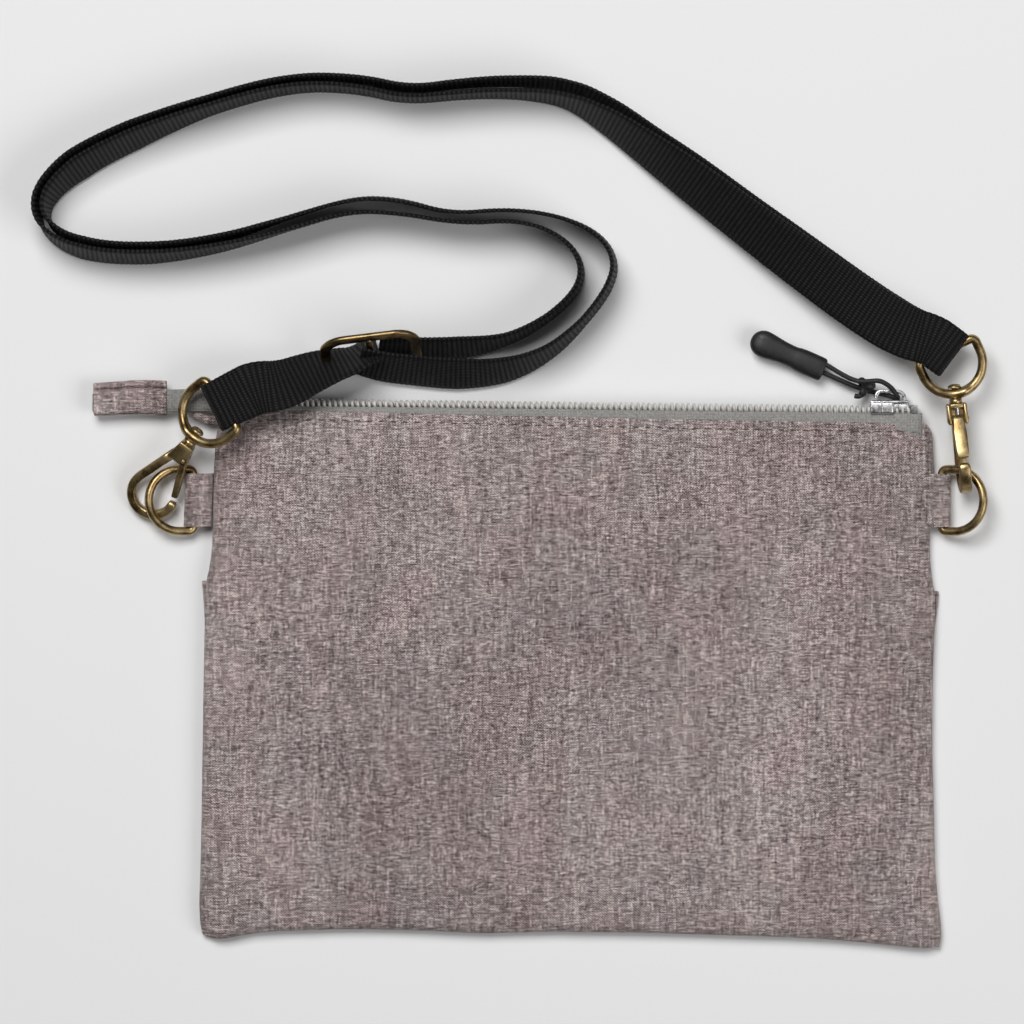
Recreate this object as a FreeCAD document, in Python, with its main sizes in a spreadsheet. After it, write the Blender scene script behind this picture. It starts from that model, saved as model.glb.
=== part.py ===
import FreeCAD, Part

import math
import os

# A flat zippered pouch with a back slip pocket and a clip-on webbing shoulder strap, lying front up.
# X runs along the zipper, Y from the pouch's bottom seam to its zipper, Z up from the surface it lies on.
# The origin is the middle of the pouch's back face. Everything is in millimetres.

Vec = FreeCAD.Vector

DIMENSIONS = {
    # sewn body
    "top_half_width": 99.4,
    "bottom_half_width": 102.4,
    "top_edge": 69.7,
    "bottom_edge": -73.5,
    "pocket_edge": 24.5,
    "corner_radius": 7.0,
    "cloth": 0.9,
    "lining": 0.4,
    "body_height": 7.0,
    "seam_wall": 1.2,
    # zipper: the chain faces +Y, its two halves either side of mid_height
    "mid_height": 3.8,
    "tape": 0.5,
    "tape_inset": 8.5,
    "tape_rise": 2.0,
    "tape_face": 71.9,
    "chain_gap": 1.2,
    "coil_width": 1.6,
    "coil_depth": 1.9,
    "chain_left": -93.0,
    "chain_right": 94.4,
    "stop_length": 1.8,
    "tail_length": 18.0,
    "tail_width": 6.8,
    "tab_length": 20.8,
    "tab_width": 8.9,
    "tab_height": 3.8,
    # slider and puller
    "slider_left": 82.8,
    "slider_length": 11.2,
    "slider_width": 6.6,
    "flange_length": 6.6,
    "plate": 0.9,
    "post_width": 0.9,
    "bridge_wire": 0.94,
    "bridge_rise": 2.8,
    "cord_wire": 1.2,
    "puller_heading": 156.2,
    "grip_start": 20.2,
    "grip_length": 22.0,
    "grip_width": 6.7,
    "grip_height": 4.0,
    "grip_bulb": 7.8,
    # rings, all one shape in two wire sizes
    "ring_radius": 8.6,
    "ring_side": 3.9,
    "ring_corner": 1.4,
    "tab_ring_wire": 2.4,
    "strap_ring_wire": 2.6,
    "loop_width": 14.4,
    "loop_cloth": 0.8,
    "loop_bore": 1.5,
    # snap hooks
    "eye_centre": 20.3,
    "eye_radius": 6.1,
    "hook_bar": 2.6,
    "block_start": 2.6,
    "block_length": 5.8,
    "block_width": 6.2,
    "block_height": 4.2,
    "gate_width": 1.9,
    "gate_height": 2.0,
    "slot_height": 2.2,
    "pin_radius": 0.5,
    "pin_clearance": 0.05,
    "rivet_radius": 0.8,
    "rivet_head": 1.9,
    "boss_radius": 2.0,
    # strap
    "webbing": 1.2,
    "webbing_width": 15.0,
    "strand_lift": 0.3,
    "fold_bore": 1.7,
    "adjuster_length": 27.0,
    "adjuster_width": 20.0,
    "adjuster_bar": 1.9,
    "adjuster_lean": 64.0,
}

# Corner points of the two strap strands in plan, from the adjuster round to the right-hand strap end.
OUTER_STRAND = [
    (-44, 84), (-31, 81.5), (-18, 81), (-5, 86), (5, 96), (12, 107), (13.5, 115), (8, 122.5),
    (-4, 127.5), (-18, 129), (-33, 127.5), (-47, 132), (-60, 132.5), (-78, 126.5), (-97, 119), (-117, 115.5),
    (-136, 116.5), (-147, 123), (-148.5, 131), (-141.5, 142.5), (-126, 153), (-103, 162), (-77, 166.5), (-58, 165.5),
    (-45, 158.6), (-30, 161), (-15, 161.8), (-1, 160.8), (11, 155), (22, 146),
]
INNER_STRAND = [
    (-44, 88.5), (-30, 88.5), (-16, 90.5), (-5.5, 96.5), (1.5, 105.5), (2.5, 113.5), (-3, 121), (-14, 125.5),
    (-30, 125), (-47, 128.8), (-61, 129.4), (-79, 123.5), (-97, 116.6), (-117, 113.4),
    (-137, 114.4), (-149, 121.5), (-151, 131), (-143.5, 143.8), (-127, 155.2), (-103, 164.3), (-77, 168.8),
    (-57, 168.2), (-43, 161.6), (-30, 164.2), (-15, 165.3), (0, 164.6), (14, 157.8), (27, 147.5),
]

# Where the hardware of each strap end lies: the tab ring's bar and tilt, the swivel's middle, the hook's
# heading and tilt, how far the rivet sits off the top of the ring's bow, and where the hook's back points.
HARDWARE = {
    "left": {
        "outward": -1, "bar": (-104.5, 47.7, 2.8), "ring_tilt": 14,
        "swivel": (-104.0, 65.2, 9.6), "heading": 233.5, "tilt": -17, "skew": -15, "back": (-0.8, 0.6, 0),
    },
    "right": {
        "outward": 1, "bar": (103.1, 47.6, 3.0), "ring_tilt": 28,
        "swivel": (106.2, 77.0, 9.6), "heading": -83.4, "tilt": -5, "skew": 18, "back": (0, 0, -1),
    },
}

doc = FreeCAD.newDocument("zippered_pouch")
sheet = doc.addObject("Spreadsheet::Sheet", "dims")
for row, (alias, value) in enumerate(DIMENSIONS.items(), start=1):
    sheet.set(f"A{row}", alias)
    sheet.set(f"B{row}", str(value))
    sheet.setAlias(f"B{row}", alias)
doc.recompute()


def size(alias):
    """The value of one driving dimension, read from the sheet."""
    return float(getattr(sheet, alias))


def bind(thing, **formulas):
    """Bind properties to formulas over the sheet; names of dimensions are used bare."""
    for target, formula in formulas.items():
        text = str(formula)
        for alias in sorted(DIMENSIONS, key=len, reverse=True):
            text = text.replace(f"<{alias}>", f"dims.{alias}")
        thing.setExpression(target.replace("__", "."), text)
    return thing


def cuboid(name, low, high):
    """A box between two corners, each corner three formulas."""
    thing = doc.addObject("Part::Box", name)
    names = ("Length", "Width", "Height")
    for axis, side, start, end in zip("xyz", names, low, high):
        bind(thing, **{side: f"({end}) - ({start})", f"Placement__Base__{axis}": start})
    return thing


def rod(name, radius, length, placement):
    """A cylinder whose radius and length are formulas, standing on its placement."""
    thing = doc.addObject("Part::Cylinder", name)
    bind(thing, Radius=radius, Height=length)
    thing.Placement = placement
    return thing


def joined(label, things):
    thing = doc.addObject("Part::MultiFuse", label)
    thing.Shapes = things
    return thing


def cut(label, base, tool):
    thing = doc.addObject("Part::Cut", label)
    thing.Base = base
    thing.Tool = tool
    return thing


def frame_at(base, x_axis, y_axis):
    """A placement whose local X and Y point along the given directions."""
    x_dir = Vec(*x_axis).normalize()
    z_dir = x_dir.cross(Vec(*y_axis)).normalize()
    y_dir = z_dir.cross(x_dir)
    turn = FreeCAD.Rotation(x_dir, y_dir, z_dir, "XYZ")
    return FreeCAD.Placement(Vec(*base), turn)


def heading(degrees, tilt):
    """A unit direction from its heading in plan and its tilt above the plan, in degrees."""
    flat = math.cos(math.radians(tilt))
    angle = math.radians(degrees)
    return (flat * math.cos(angle), flat * math.sin(angle), math.sin(math.radians(tilt)))


def body_of(label, placement=FreeCAD.Placement()):
    body = doc.addObject("PartDesign::Body", label)
    body.Placement = placement
    return body


def sketch_in(body, plane, name):
    """A sketch on one of the body's own origin planes."""
    sketch = body.newObject("Sketcher::SketchObject", f"{body.Name}_{name}")
    support = next(f for f in body.Origin.OriginFeatures if f.Role == plane)
    sketch.AttachmentSupport = [(support, "")]
    sketch.MapMode = "FlatFace"
    return sketch


def arc_through(first, middle, last):
    return Part.Arc(Vec(*first, 0), Vec(*middle, 0), Vec(*last, 0))


def line(first, last):
    return Part.LineSegment(Vec(*first, 0), Vec(*last, 0))


def rounded_outline(points, radius):
    """Edges of a closed outline with every corner rounded to the same radius."""
    edges = []
    count = len(points)
    starts = []
    for i in range(count):
        here = Vec(*points[i], 0)
        before = (Vec(*points[i - 1], 0) - here).normalize()
        after = (Vec(*points[(i + 1) % count], 0) - here).normalize()
        half = before.getAngle(after) / 2
        reach = radius / math.tan(half)
        middle = here + (before + after).normalize() * (radius / math.sin(half) - radius)
        starts.append((here + before * reach, middle, here + after * reach))
    for i in range(count):
        enter, middle, leave = starts[i]
        edges.append(Part.Arc(enter, middle, leave))
        edges.append(Part.LineSegment(leave, starts[(i + 1) % count][0]))
    return edges


def padded(body, sketch, length, symmetric=False):
    pad = body.newObject("PartDesign::Pad", f"{sketch.Name}_pad")
    pad.Profile = sketch
    pad.Midplane = symmetric
    bind(pad, Length=length)
    sketch.Visibility = False
    return pad


def pocketed(body, sketch, length, symmetric=False):
    """A pocket that removes what lies above the sketch plane, or on both sides of it."""
    pocket = body.newObject("PartDesign::Pocket", f"{sketch.Name}_pocket")
    pocket.Profile = sketch
    pocket.Midplane = symmetric
    pocket.Reversed = not symmetric
    bind(pocket, Length=length)
    return pocket


def panel_outline(inset, top, bottom):
    """The sewn body's plan outline: slightly wider at the bottom, with rounded corners."""
    slope = (size("bottom_half_width") - size("top_half_width")) / (size("top_edge") - size("bottom_edge"))
    high = size("top_half_width") + slope * (size("top_edge") - top) - inset
    low = size("top_half_width") + slope * (size("top_edge") - bottom) - inset
    corners = [(-low, bottom), (low, bottom), (high, top), (-high, top)]
    return rounded_outline(corners, max(size("corner_radius") - inset, 1.0))


def flat_panel(label, inset, top, bottom, level, thickness):
    """One flat cloth panel lying at a level."""
    body = body_of(label)
    sketch = sketch_in(body, "XY_Plane", "outline")
    sketch.addGeometry(panel_outline(inset, top, bottom), False)
    padded(body, sketch, thickness)
    bind(body, Placement__Base__z=level)
    return body


# --- sewn body: pocket panel, back, front and two linings -------------------------------------------------


def make_sewn_body():
    top, bottom = size("top_edge"), size("bottom_edge")
    seam = size("seam_wall")
    flat_panel("back_pocket_panel", 0.0, size("pocket_edge"), bottom, "0", "<cloth>")
    flat_panel("back_panel", 0.0, top, bottom, "<cloth>", "<cloth>")
    lining_top = top - size("tape_rise")
    inner = bottom + 2 * seam
    level = "2 * <cloth> + <tape>"
    flat_panel("lining_back", 2 * seam, lining_top, inner, level, "<lining>")
    level = "<body_height> - <seam_wall> - <tape> - <lining>"
    flat_panel("lining_front", 2 * seam, lining_top, inner, level, "<lining>")
    front = body_of("front_panel")
    outline = sketch_in(front, "XY_Plane", "outline")
    outline.addGeometry(panel_outline(0.0, top, bottom), False)
    padded(front, outline, "<body_height> - 2 * <cloth>")
    hollow = sketch_in(front, "XY_Plane", "hollow")
    wide_open = 4 * size("corner_radius")
    hollow.addGeometry(panel_outline(seam, top + wide_open, bottom + seam), False)
    pocketed(front, hollow, "<body_height> - 2 * <cloth> - <seam_wall>")
    bind(front, Placement__Base__z="2 * <cloth>")


# --- zipper: two tapes, two coils, stops and the covered tail ---------------------------------------------


def zipper_half(side):
    """Tape and coil of one half; side is +1 for the front half and -1 for the back half."""
    name = "front" if side > 0 else "back"

    def levels(near, far):
        """Low and high level of a band given its distances from the chain's middle."""
        if side > 0:
            return f"<mid_height> + {near}", f"<mid_height> + {far}"
        return f"<mid_height> - {far}", f"<mid_height> - {near}"

    ends = ("<chain_left> - 3", "<chain_right> + 3")
    outer = "(<body_height> - <seam_wall> - <mid_height>)"
    low, high = levels(f"({outer} - <tape>)", outer)
    flat = cuboid(f"tape_flat_{name}", (ends[0], "<top_edge> - <tape_inset>", low), (ends[1], "<tape_face>", high))
    low, high = levels("<chain_gap> / 2", outer)
    lip = cuboid(f"tape_lip_{name}", (ends[0], "<tape_face> - <tape>", low), (ends[1], "<tape_face>", high))
    low, high = levels("<chain_gap> / 2", "(<chain_gap> / 2 + <tape>)")
    tail = cuboid(
        f"tape_tail_{name}",
        ("<chain_left> - 2.2 - <tail_length>", "<tape_face> - <tape>", low),
        ("<chain_left> - 2.2", "<tape_face> - <tape> + <tail_width>", high),
    )
    joined(f"zipper_tape_{name}", [flat, lip, tail])
    low, high = levels("<chain_gap> / 2", "(<chain_gap> / 2 + <coil_width>)")
    top = "<tape_face> + <coil_depth>"
    cuboid(f"zipper_coil_{name}", ("<chain_left>", "<tape_face>", low), ("<chain_right>", top, high))
    return cuboid(
        f"top_stop_{name}",
        ("<chain_right>", "<tape_face>", low),
        ("<chain_right> + <stop_length>", f"{top} + 0.2", high),
    )


def make_zipper():
    joined("zipper_top_stops", [zipper_half(1), zipper_half(-1)])
    reach = "(<chain_gap> / 2 + <coil_width> + 0.2)"
    cuboid(
        "zipper_bottom_stop",
        ("<chain_left> - <stop_length>", "<tape_face>", f"<mid_height> - {reach}"),
        ("<chain_left>", "<tape_face> + <coil_depth> + 0.2", f"<mid_height> + {reach}"),
    )
    tail_end = "(<chain_left> - 2.2 - <tail_length>)"
    band = cuboid(
        "tab_band",
        (f"{tail_end} - <tab_length> + 3", "<tape_face> - <tape> - 0.4", "<mid_height> - <tab_height> / 2"),
        (f"{tail_end} + 3", "<tape_face> - <tape> - 0.4 + <tab_width>", "<mid_height> + <tab_height> / 2"),
    )
    slit = cuboid(
        "tab_slit",
        (tail_end, "<tape_face> - <tape>", "<mid_height> - <chain_gap> / 2 - <tape>"),
        (f"{tail_end} + 4", "<tape_face> - <tape> + <tail_width>", "<mid_height> + <chain_gap> / 2 + <tape>"),
    )
    cut("zipper_tail_tab", band, slit)


# --- slider with its bridge, and the puller that hangs on it ----------------------------------------------


def make_slider():
    right = "<slider_left> + <slider_length>"
    face = "<tape_face> + <coil_depth> + 0.1"
    half = "<slider_width> / 2"
    outer = cuboid(
        "slider_outer_plate",
        ("<slider_left>", face, f"<mid_height> - {half}"),
        (right, f"{face} + <plate>", f"<mid_height> + {half}"),
    )
    inner = cuboid(
        "slider_inner_plate",
        ("<slider_left>", "<tape_face> - <tape> - 0.2 - <plate>", "<mid_height> - 1.2"),
        (right, "<tape_face> - <tape> - 0.2", "<mid_height> + 1.2"),
    )
    post = cuboid(
        "slider_post",
        (f"{right} - 3", "<tape_face> - <tape> - 0.2 - <plate>", "<mid_height> - <post_width> / 2"),
        (f"{right} - 0.5", f"{face} + <plate>", "<mid_height> + <post_width> / 2"),
    )
    pieces = [outer, inner, post]
    for name, low, high in (("front", f"{half} - 0.8", half), ("back", f"-{half}", f"0.8 - {half}")):
        pieces.append(cuboid(
            f"slider_flange_{name}",
            ("<slider_left>", "<tape_face> - 0.1", f"<mid_height> + {low}"),
            ("<slider_left> + <flange_length>", f"{face} + <plate>", f"<mid_height> + {high}"),
        ))
    top = f"{face} + <plate> + <bridge_rise>"
    thick = "<bridge_wire> / 2"
    span = (("0.4", "0.4 + <bridge_wire>"), ("<slider_length> - 2.4", "<slider_length> - 2.4 + <bridge_wire>"))
    for number, (start, end) in enumerate(span, start=1):
        pieces.append(cuboid(
            f"bridge_leg_{number}",
            (f"<slider_left> + {start}", face, f"<mid_height> - {thick}"),
            (f"<slider_left> + {end}", f"{top} + {thick}", f"<mid_height> + {thick}"),
        ))
    pieces.append(cuboid(
        "bridge_bar",
        ("<slider_left> + 0.4", f"{top} - {thick}", f"<mid_height> - {thick}"),
        (f"<slider_left> + <slider_length> - 2.4 + <bridge_wire>", f"{top} + {thick}", f"<mid_height> + {thick}"),
    ))
    joined("zipper_slider", pieces)


def bridge_bar_at():
    """Y of the middle of the slider's bridge bar, which the puller swings about."""
    return size("tape_face") + size("coil_depth") + 0.1 + size("plate") + size("bridge_rise")


def puller_place():
    """The puller's own frame: origin inside the bridge, X along the puller, Z up."""
    base = (size("slider_left") + 6.9, bridge_bar_at() - 1.4, size("mid_height"))
    return frame_at(base, heading(size("puller_heading"), 0), heading(size("puller_heading") + 90, 0))


def make_puller():
    """A doubled cord looped round the bridge, knotted, and moulded into a soft grip."""
    spread = 1.3
    start = size("grip_start")
    place = puller_place()
    length = start + 1.5 - spread
    bend = doc.addObject("Part::Torus", "puller_cord_bend")
    bind(bend, Radius1=spread, Radius2="<cord_wire> / 2", Angle3=180)
    half_turn = FreeCAD.Rotation(Vec(0, 0, -1), Vec(-1, 0, 0), Vec(0, 1, 0), "XYZ")
    bend.Placement = place.multiply(FreeCAD.Placement(Vec(spread, 0, 0), half_turn))
    pieces = [bend]
    for name, level in (("upper", spread), ("lower", -spread)):
        lie = FreeCAD.Placement(Vec(spread, 0, level), FreeCAD.Rotation(Vec(0, 1, 0), 90))
        pieces.append(rod(f"puller_cord_{name}", "<cord_wire> / 2", f"{length}", place.multiply(lie)))
    knot = rod("puller_knot", "2.0", "3.6", place.multiply(
        FreeCAD.Placement(Vec(7.8, 0, 0), FreeCAD.Rotation(Vec(0, 1, 0), 90))))
    joined("puller_cord", pieces + [knot])
    grip = body_of("puller_grip", puller_place())
    outline = sketch_in(grip, "XY_Plane", "outline")
    half, bulb = size("grip_width") / 2, size("grip_bulb") / 2
    end = start + size("grip_length")
    neck = end - 2.1 * bulb
    outline.addGeometry([
        line((start, -half), (neck, -half)),
        line((neck, -half), (end - bulb, -bulb)),
        arc_through((end - bulb, -bulb), (end, 0), (end - bulb, bulb)),
        line((end - bulb, bulb), (neck, half)),
        line((neck, half), (start, half)),
        line((start, half), (start, -half)),
    ], False)
    padded(grip, outline, "<grip_height>", symmetric=True)


# --- rings: one D shape for the side tabs and for the strap ends ------------------------------------------


def ring_path():
    """Centre line of a D ring: origin at the middle of its straight bar, X towards its bow."""
    radius, side, corner = size("ring_radius"), size("ring_side"), size("ring_corner")
    nip = corner * (1 - math.sqrt(0.5))
    return [
        line((0, corner - radius), (0, radius - corner)),
        arc_through((0, radius - corner), (nip, radius - nip), (corner, radius)),
        line((corner, radius), (side, radius)),
        arc_through((side, radius), (side + radius, 0), (side, -radius)),
        line((side, -radius), (corner, -radius)),
        arc_through((corner, -radius), (nip, nip - radius), (0, corner - radius)),
    ]


def make_ring(label, wire, placement, boss=None):
    """A ring bent from round wire, with an optional drilled boss at the top of its bow for the swivel rivet."""
    body = body_of(label, placement)
    path = sketch_in(body, "XY_Plane", "path")
    path.addGeometry(ring_path(), False)
    section = sketch_in(body, "XZ_Plane", "section")
    section.addGeometry(Part.Circle(Vec(0, 0, 0), Vec(0, 0, 1), size(wire) / 2), False)
    pipe = body.newObject("PartDesign::AdditivePipe", f"{label}_pipe")
    pipe.Profile = section
    pipe.Spine = (path, [f"Edge{n + 1}" for n in range(6)])
    if boss:
        local = placement.inverse().multiply(boss)
        drum = body.newObject("PartDesign::AdditiveCylinder", f"{label}_boss")
        bind(drum, Radius="<boss_radius>", Height="<strap_ring_wire>")
        out = FreeCAD.Placement(Vec(-size("strap_ring_wire") / 2, 0, 0), FreeCAD.Rotation(Vec(0, 1, 0), 90))
        drum.Placement = local.multiply(out)
        hole = body.newObject("PartDesign::SubtractiveCylinder", f"{label}_hole")
        bind(hole, Radius="<rivet_radius> + <pin_clearance>", Height="3 * <strap_ring_wire>")
        deep = FreeCAD.Placement(Vec(-1.5 * size("strap_ring_wire"), 0, 0), FreeCAD.Rotation(Vec(0, 1, 0), 90))
        hole.Placement = local.multiply(deep)
    return body


# --- snap hooks -------------------------------------------------------------------------------------------


def tangent_start():
    """Where the hook's straight back meets the round of its eye, in the hook's plane."""
    centre, radius = size("eye_centre"), size("eye_radius")
    root = Vec(size("block_start") + size("block_length") - 1.5, 1.7, 0)
    away = root - Vec(centre, 0, 0)
    angle = math.atan2(away.y, away.x) - math.acos(radius / away.Length)
    return root, angle


def eye_point(angle):
    return (size("eye_centre") + size("eye_radius") * math.cos(angle), size("eye_radius") * math.sin(angle))


def gate_line():
    """The gate's pivot and tip, the mirror image of the hook's straight back with a gap before the nose."""
    root, angle = tangent_start()
    tip = Vec(*eye_point(-angle), 0)
    pivot = Vec(root.x, -root.y, 0)
    along = (tip - pivot).normalize()
    return pivot, tip - along * 0.9


def bar_section(body, name, at, along, width, height):
    """A sketch of the forged bar's section, square to the path at its start."""
    sketch = body.newObject("Sketcher::SketchObject", f"{body.Name}_{name}")
    across = Vec(-along.y, along.x, 0)
    sketch.Placement = FreeCAD.Placement(at, FreeCAD.Rotation(across, Vec(0, 0, 1), along, "XYZ"))
    corners = [(-width / 2, -height / 2), (width / 2, -height / 2), (width / 2, height / 2), (-width / 2, height / 2)]
    sketch.addGeometry(rounded_outline(corners, 0.5), False)
    return sketch


def make_hook(side, place):
    """Hook, gate, gate pin, gate spring and swivel rivet in one frame: X from the swivel to the eye."""
    hook = body_of(f"hook_{side}", place)
    root, angle = tangent_start()
    path = sketch_in(hook, "XY_Plane", "path")
    first = eye_point(angle)
    last = eye_point(-angle)
    path.addGeometry([line((root.x, root.y), first), arc_through(first, eye_point(0), last)], False)
    along = (Vec(*first, 0) - root).normalize()
    section = bar_section(hook, "section", root, along, size("hook_bar"), size("hook_bar"))
    pipe = hook.newObject("PartDesign::AdditivePipe", f"hook_{side}_pipe")
    pipe.Profile = section
    pipe.Spine = (path, ["Edge1", "Edge2"])
    pipe.Transition = "Transformed"
    start, length = size("block_start"), size("block_length")
    wide = size("block_width") / 2
    block = sketch_in(hook, "XY_Plane", "block")
    corners = [(start, -0.55 * wide), (start + length, -wide), (start + length, wide), (start, 0.55 * wide)]
    block.addGeometry(rounded_outline(corners, 0.6), False)
    padded(hook, block, "<block_height>", symmetric=True)
    slot = sketch_in(hook, "XY_Plane", "slot")
    pivot, tip = gate_line()
    heel = size("gate_width") / 2 + 0.35
    slot_corners = [
        (pivot.x - heel - 1.9, -2 * wide), (start + 2 * length, -2 * wide),
        (start + 2 * length, pivot.y + heel), (pivot.x - heel - 1.9, pivot.y + heel),
    ]
    slot.addGeometry(rounded_outline(slot_corners, 0.2), False)
    pocketed(hook, slot, "<slot_height>", symmetric=True)
    drilled = sketch_in(hook, "XY_Plane", "pin_hole")
    clear = size("pin_radius") + size("pin_clearance")
    drilled.addGeometry(Part.Circle(pivot, Vec(0, 0, 1), clear), False)
    pocketed(hook, drilled, "2 * <block_height>", symmetric=True)
    stem = hook.newObject("PartDesign::AdditiveCylinder", f"hook_{side}_stem")
    bind(stem, Radius="<boss_radius> - 0.2", Height="<block_start> - <strap_ring_wire> / 2")
    quarter = FreeCAD.Rotation(Vec(0, 1, 0), 90)
    stem.Placement = FreeCAD.Placement(Vec(size("strap_ring_wire") / 2 + 0.1, 0, 0), quarter)
    # the rivet is headed over inside the strap ring and turns with the hook
    head_at = -size("strap_ring_wire") / 2 - 0.4
    shank = rod(f"rivet_shank_{side}", "<rivet_radius>", "<strap_ring_wire> + 0.5",
                place.multiply(FreeCAD.Placement(Vec(head_at, 0, 0), quarter)))
    head = rod(f"rivet_cap_{side}", "<rivet_head>", "0.9",
               place.multiply(FreeCAD.Placement(Vec(head_at - 0.9, 0, 0), quarter)))
    joined(f"swivel_rivet_{side}", [shank, head])
    # the gate turns on a pin through the block's two cheeks
    gate = body_of(f"gate_{side}", place)
    gate_path = sketch_in(gate, "XY_Plane", "outline")
    direction = (tip - pivot).normalize()
    across = Vec(-direction.y, direction.x, 0) * (size("gate_width") / 2)
    back = pivot - direction * (size("gate_width") / 2)
    gate_path.addGeometry([
        Part.LineSegment(pivot - across, tip - across),
        Part.LineSegment(tip - across, tip + across),
        Part.LineSegment(tip + across, pivot + across),
        Part.Arc(pivot + across, back, pivot - across),
    ], False)
    padded(gate, gate_path, "<gate_height>", symmetric=True)
    bored = sketch_in(gate, "XY_Plane", "bore")
    bored.addGeometry(Part.Circle(pivot, Vec(0, 0, 1), clear), False)
    pocketed(gate, bored, "2 * <gate_height>", symmetric=True)
    pin_base = FreeCAD.Placement(Vec(pivot.x, pivot.y, -size("block_height") / 2), FreeCAD.Rotation())
    rod(f"gate_pin_{side}", "<pin_radius>", "<block_height>", place.multiply(pin_base))
    spring_base = FreeCAD.Placement(Vec(pivot.x - heel - 1.8, pivot.y, 0), quarter)
    rod(f"gate_spring_{side}", "0.6", "1.8", place.multiply(spring_base))


# --- side tabs, strap rings and hooks, placed as they lie -------------------------------------------------


def loop_tab(side, bar, towards):
    """A folded cloth tab: a tube round the ring's bar and a tongue sewn into the side seam."""
    half = size("loop_width") / 2
    stand = frame_at((bar[0], bar[1] - half, bar[2]), (1, 0, 0), (0, 0, -1))
    tube = rod(f"loop_tube_{side}", "<loop_bore> + <loop_cloth>", "<loop_width>", stand)
    reach = sorted((bar[0] - towards * 4.9, bar[0]))
    tongue = cuboid(
        f"loop_tongue_{side}",
        (f"{reach[0]}", f"{bar[1] - half}", f"{bar[2]} - 0.9"),
        (f"{reach[1]}", f"{bar[1] + half}", f"{bar[2]} + 1.3"),
    )
    bore = rod(f"loop_hole_{side}", "<loop_bore>", "<loop_width>", stand)
    cut(f"loop_tab_{side}", joined(f"loop_cloth_{side}", [tube, tongue]), bore)


def strap_end(side, ring_place, along, tongue_length, layers):
    """Webbing folded round the strap ring's bar: a tube on the bar and the flat webbing leading away."""
    width = size("ring_radius") * 2 - size("strap_ring_wire") - 0.8
    stand = ring_place.multiply(FreeCAD.Placement(Vec(0, -width / 2, 0), FreeCAD.Rotation(Vec(1, 0, 0), -90)))
    tube = rod(f"fold_tube_{side}", "<fold_bore> + <webbing>", f"{width}", stand)
    hole = rod(f"fold_hole_{side}", "<fold_bore>", f"{width}", stand)
    neck = doc.addObject("Part::Box", f"fold_neck_{side}")
    neck_width = 9.0
    bind(neck, Length="9", Width=f"{neck_width}", Height=f"{layers} * <webbing>")
    place = frame_at(ring_place.Base, along, Vec(0, 0, 1).cross(Vec(*along)))
    neck.Placement = place.multiply(
        FreeCAD.Placement(Vec(0, -neck_width / 2, -layers * size("webbing") / 2), FreeCAD.Rotation()))
    tongue = doc.addObject("Part::Box", f"fold_tongue_{side}")
    bind(tongue, Length=f"{tongue_length}", Width="<webbing_width>", Height=f"{layers} * <webbing>")
    tongue.Placement = place.multiply(FreeCAD.Placement(
        Vec(8.0, -size("webbing_width") / 2, -layers * size("webbing") / 2), FreeCAD.Rotation()))
    cut(f"strap_end_{side}", joined(f"fold_cloth_{side}", [tube, neck, tongue]), hole)


def tab_ring_place(side):
    lie = HARDWARE[side]
    tilt = math.radians(lie["ring_tilt"])
    axis = (lie["outward"] * math.cos(tilt), 0, math.sin(tilt))
    return frame_at(lie["bar"], axis, (0, lie["outward"], 0))


def hook_place(side):
    lie = HARDWARE[side]
    return frame_at(lie["swivel"], heading(lie["heading"], lie["tilt"]), lie["back"])


def strap_ring_place(side):
    """The strap ring's frame; its rivet sits off the top of the bow, where the bow is square to the hook."""
    lie = HARDWARE[side]
    skew = math.radians(lie["skew"])
    along = Vec(*heading(lie["heading"], lie["tilt"]))
    across = Vec(0, 0, 1).cross(along).normalize()
    axis = along * math.cos(skew) + across * math.sin(skew)
    bow_centre = Vec(*lie["swivel"]) - along * size("ring_radius")
    return frame_at(bow_centre - axis * size("ring_side"), axis, along.cross(across).cross(axis))


def make_hardware():
    """Each end of the strap: side tab and its ring, snap hook, swivelling strap ring and webbing end."""
    for side, lie in HARDWARE.items():
        loop_tab(side, lie["bar"], lie["outward"])
        make_ring(f"tab_ring_{side}", "tab_ring_wire", tab_ring_place(side))
        make_hook(side, hook_place(side))
        make_ring(f"strap_ring_{side}", "strap_ring_wire", strap_ring_place(side), boss=hook_place(side))
    strap_end("left", strap_ring_place("left"), heading(29, -4), 21.0, 1)
    strap_end("right", strap_ring_place("right"), heading(143.3, -1.5), 79.0, 2)


# --- adjuster and the long strands ------------------------------------------------------------------------


def make_adjuster():
    """A cast slide with a fixed middle bar, leaning as the webbing stands on edge."""
    lean = math.radians(size("adjuster_lean"))
    lift = size("adjuster_width") / 2 * math.sin(lean) + 1.0
    place = frame_at((-56.0, 86.0, lift), heading(7, 0), (0, math.cos(lean), math.sin(lean)))
    body = body_of("strap_adjuster", place)
    outer = sketch_in(body, "XY_Plane", "outer")
    long, wide, bar = size("adjuster_length") / 2, size("adjuster_width") / 2, size("adjuster_bar")
    outer.addGeometry(rounded_outline([(-long, -wide), (long, -wide), (long, wide), (-long, wide)], 4.0), False)
    padded(body, outer, "<adjuster_bar>", symmetric=True)
    for name, near, far in (("first", bar / 2, long - bar), ("second", bar - long, -bar / 2)):
        window = sketch_in(body, "XY_Plane", name)
        corners = [(near, bar - wide), (far, bar - wide), (far, wide - bar), (near, wide - bar)]
        window.addGeometry(rounded_outline(corners, 1.0), False)
        pocketed(body, window, "2 * <adjuster_bar>", symmetric=True)
    return place


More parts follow.
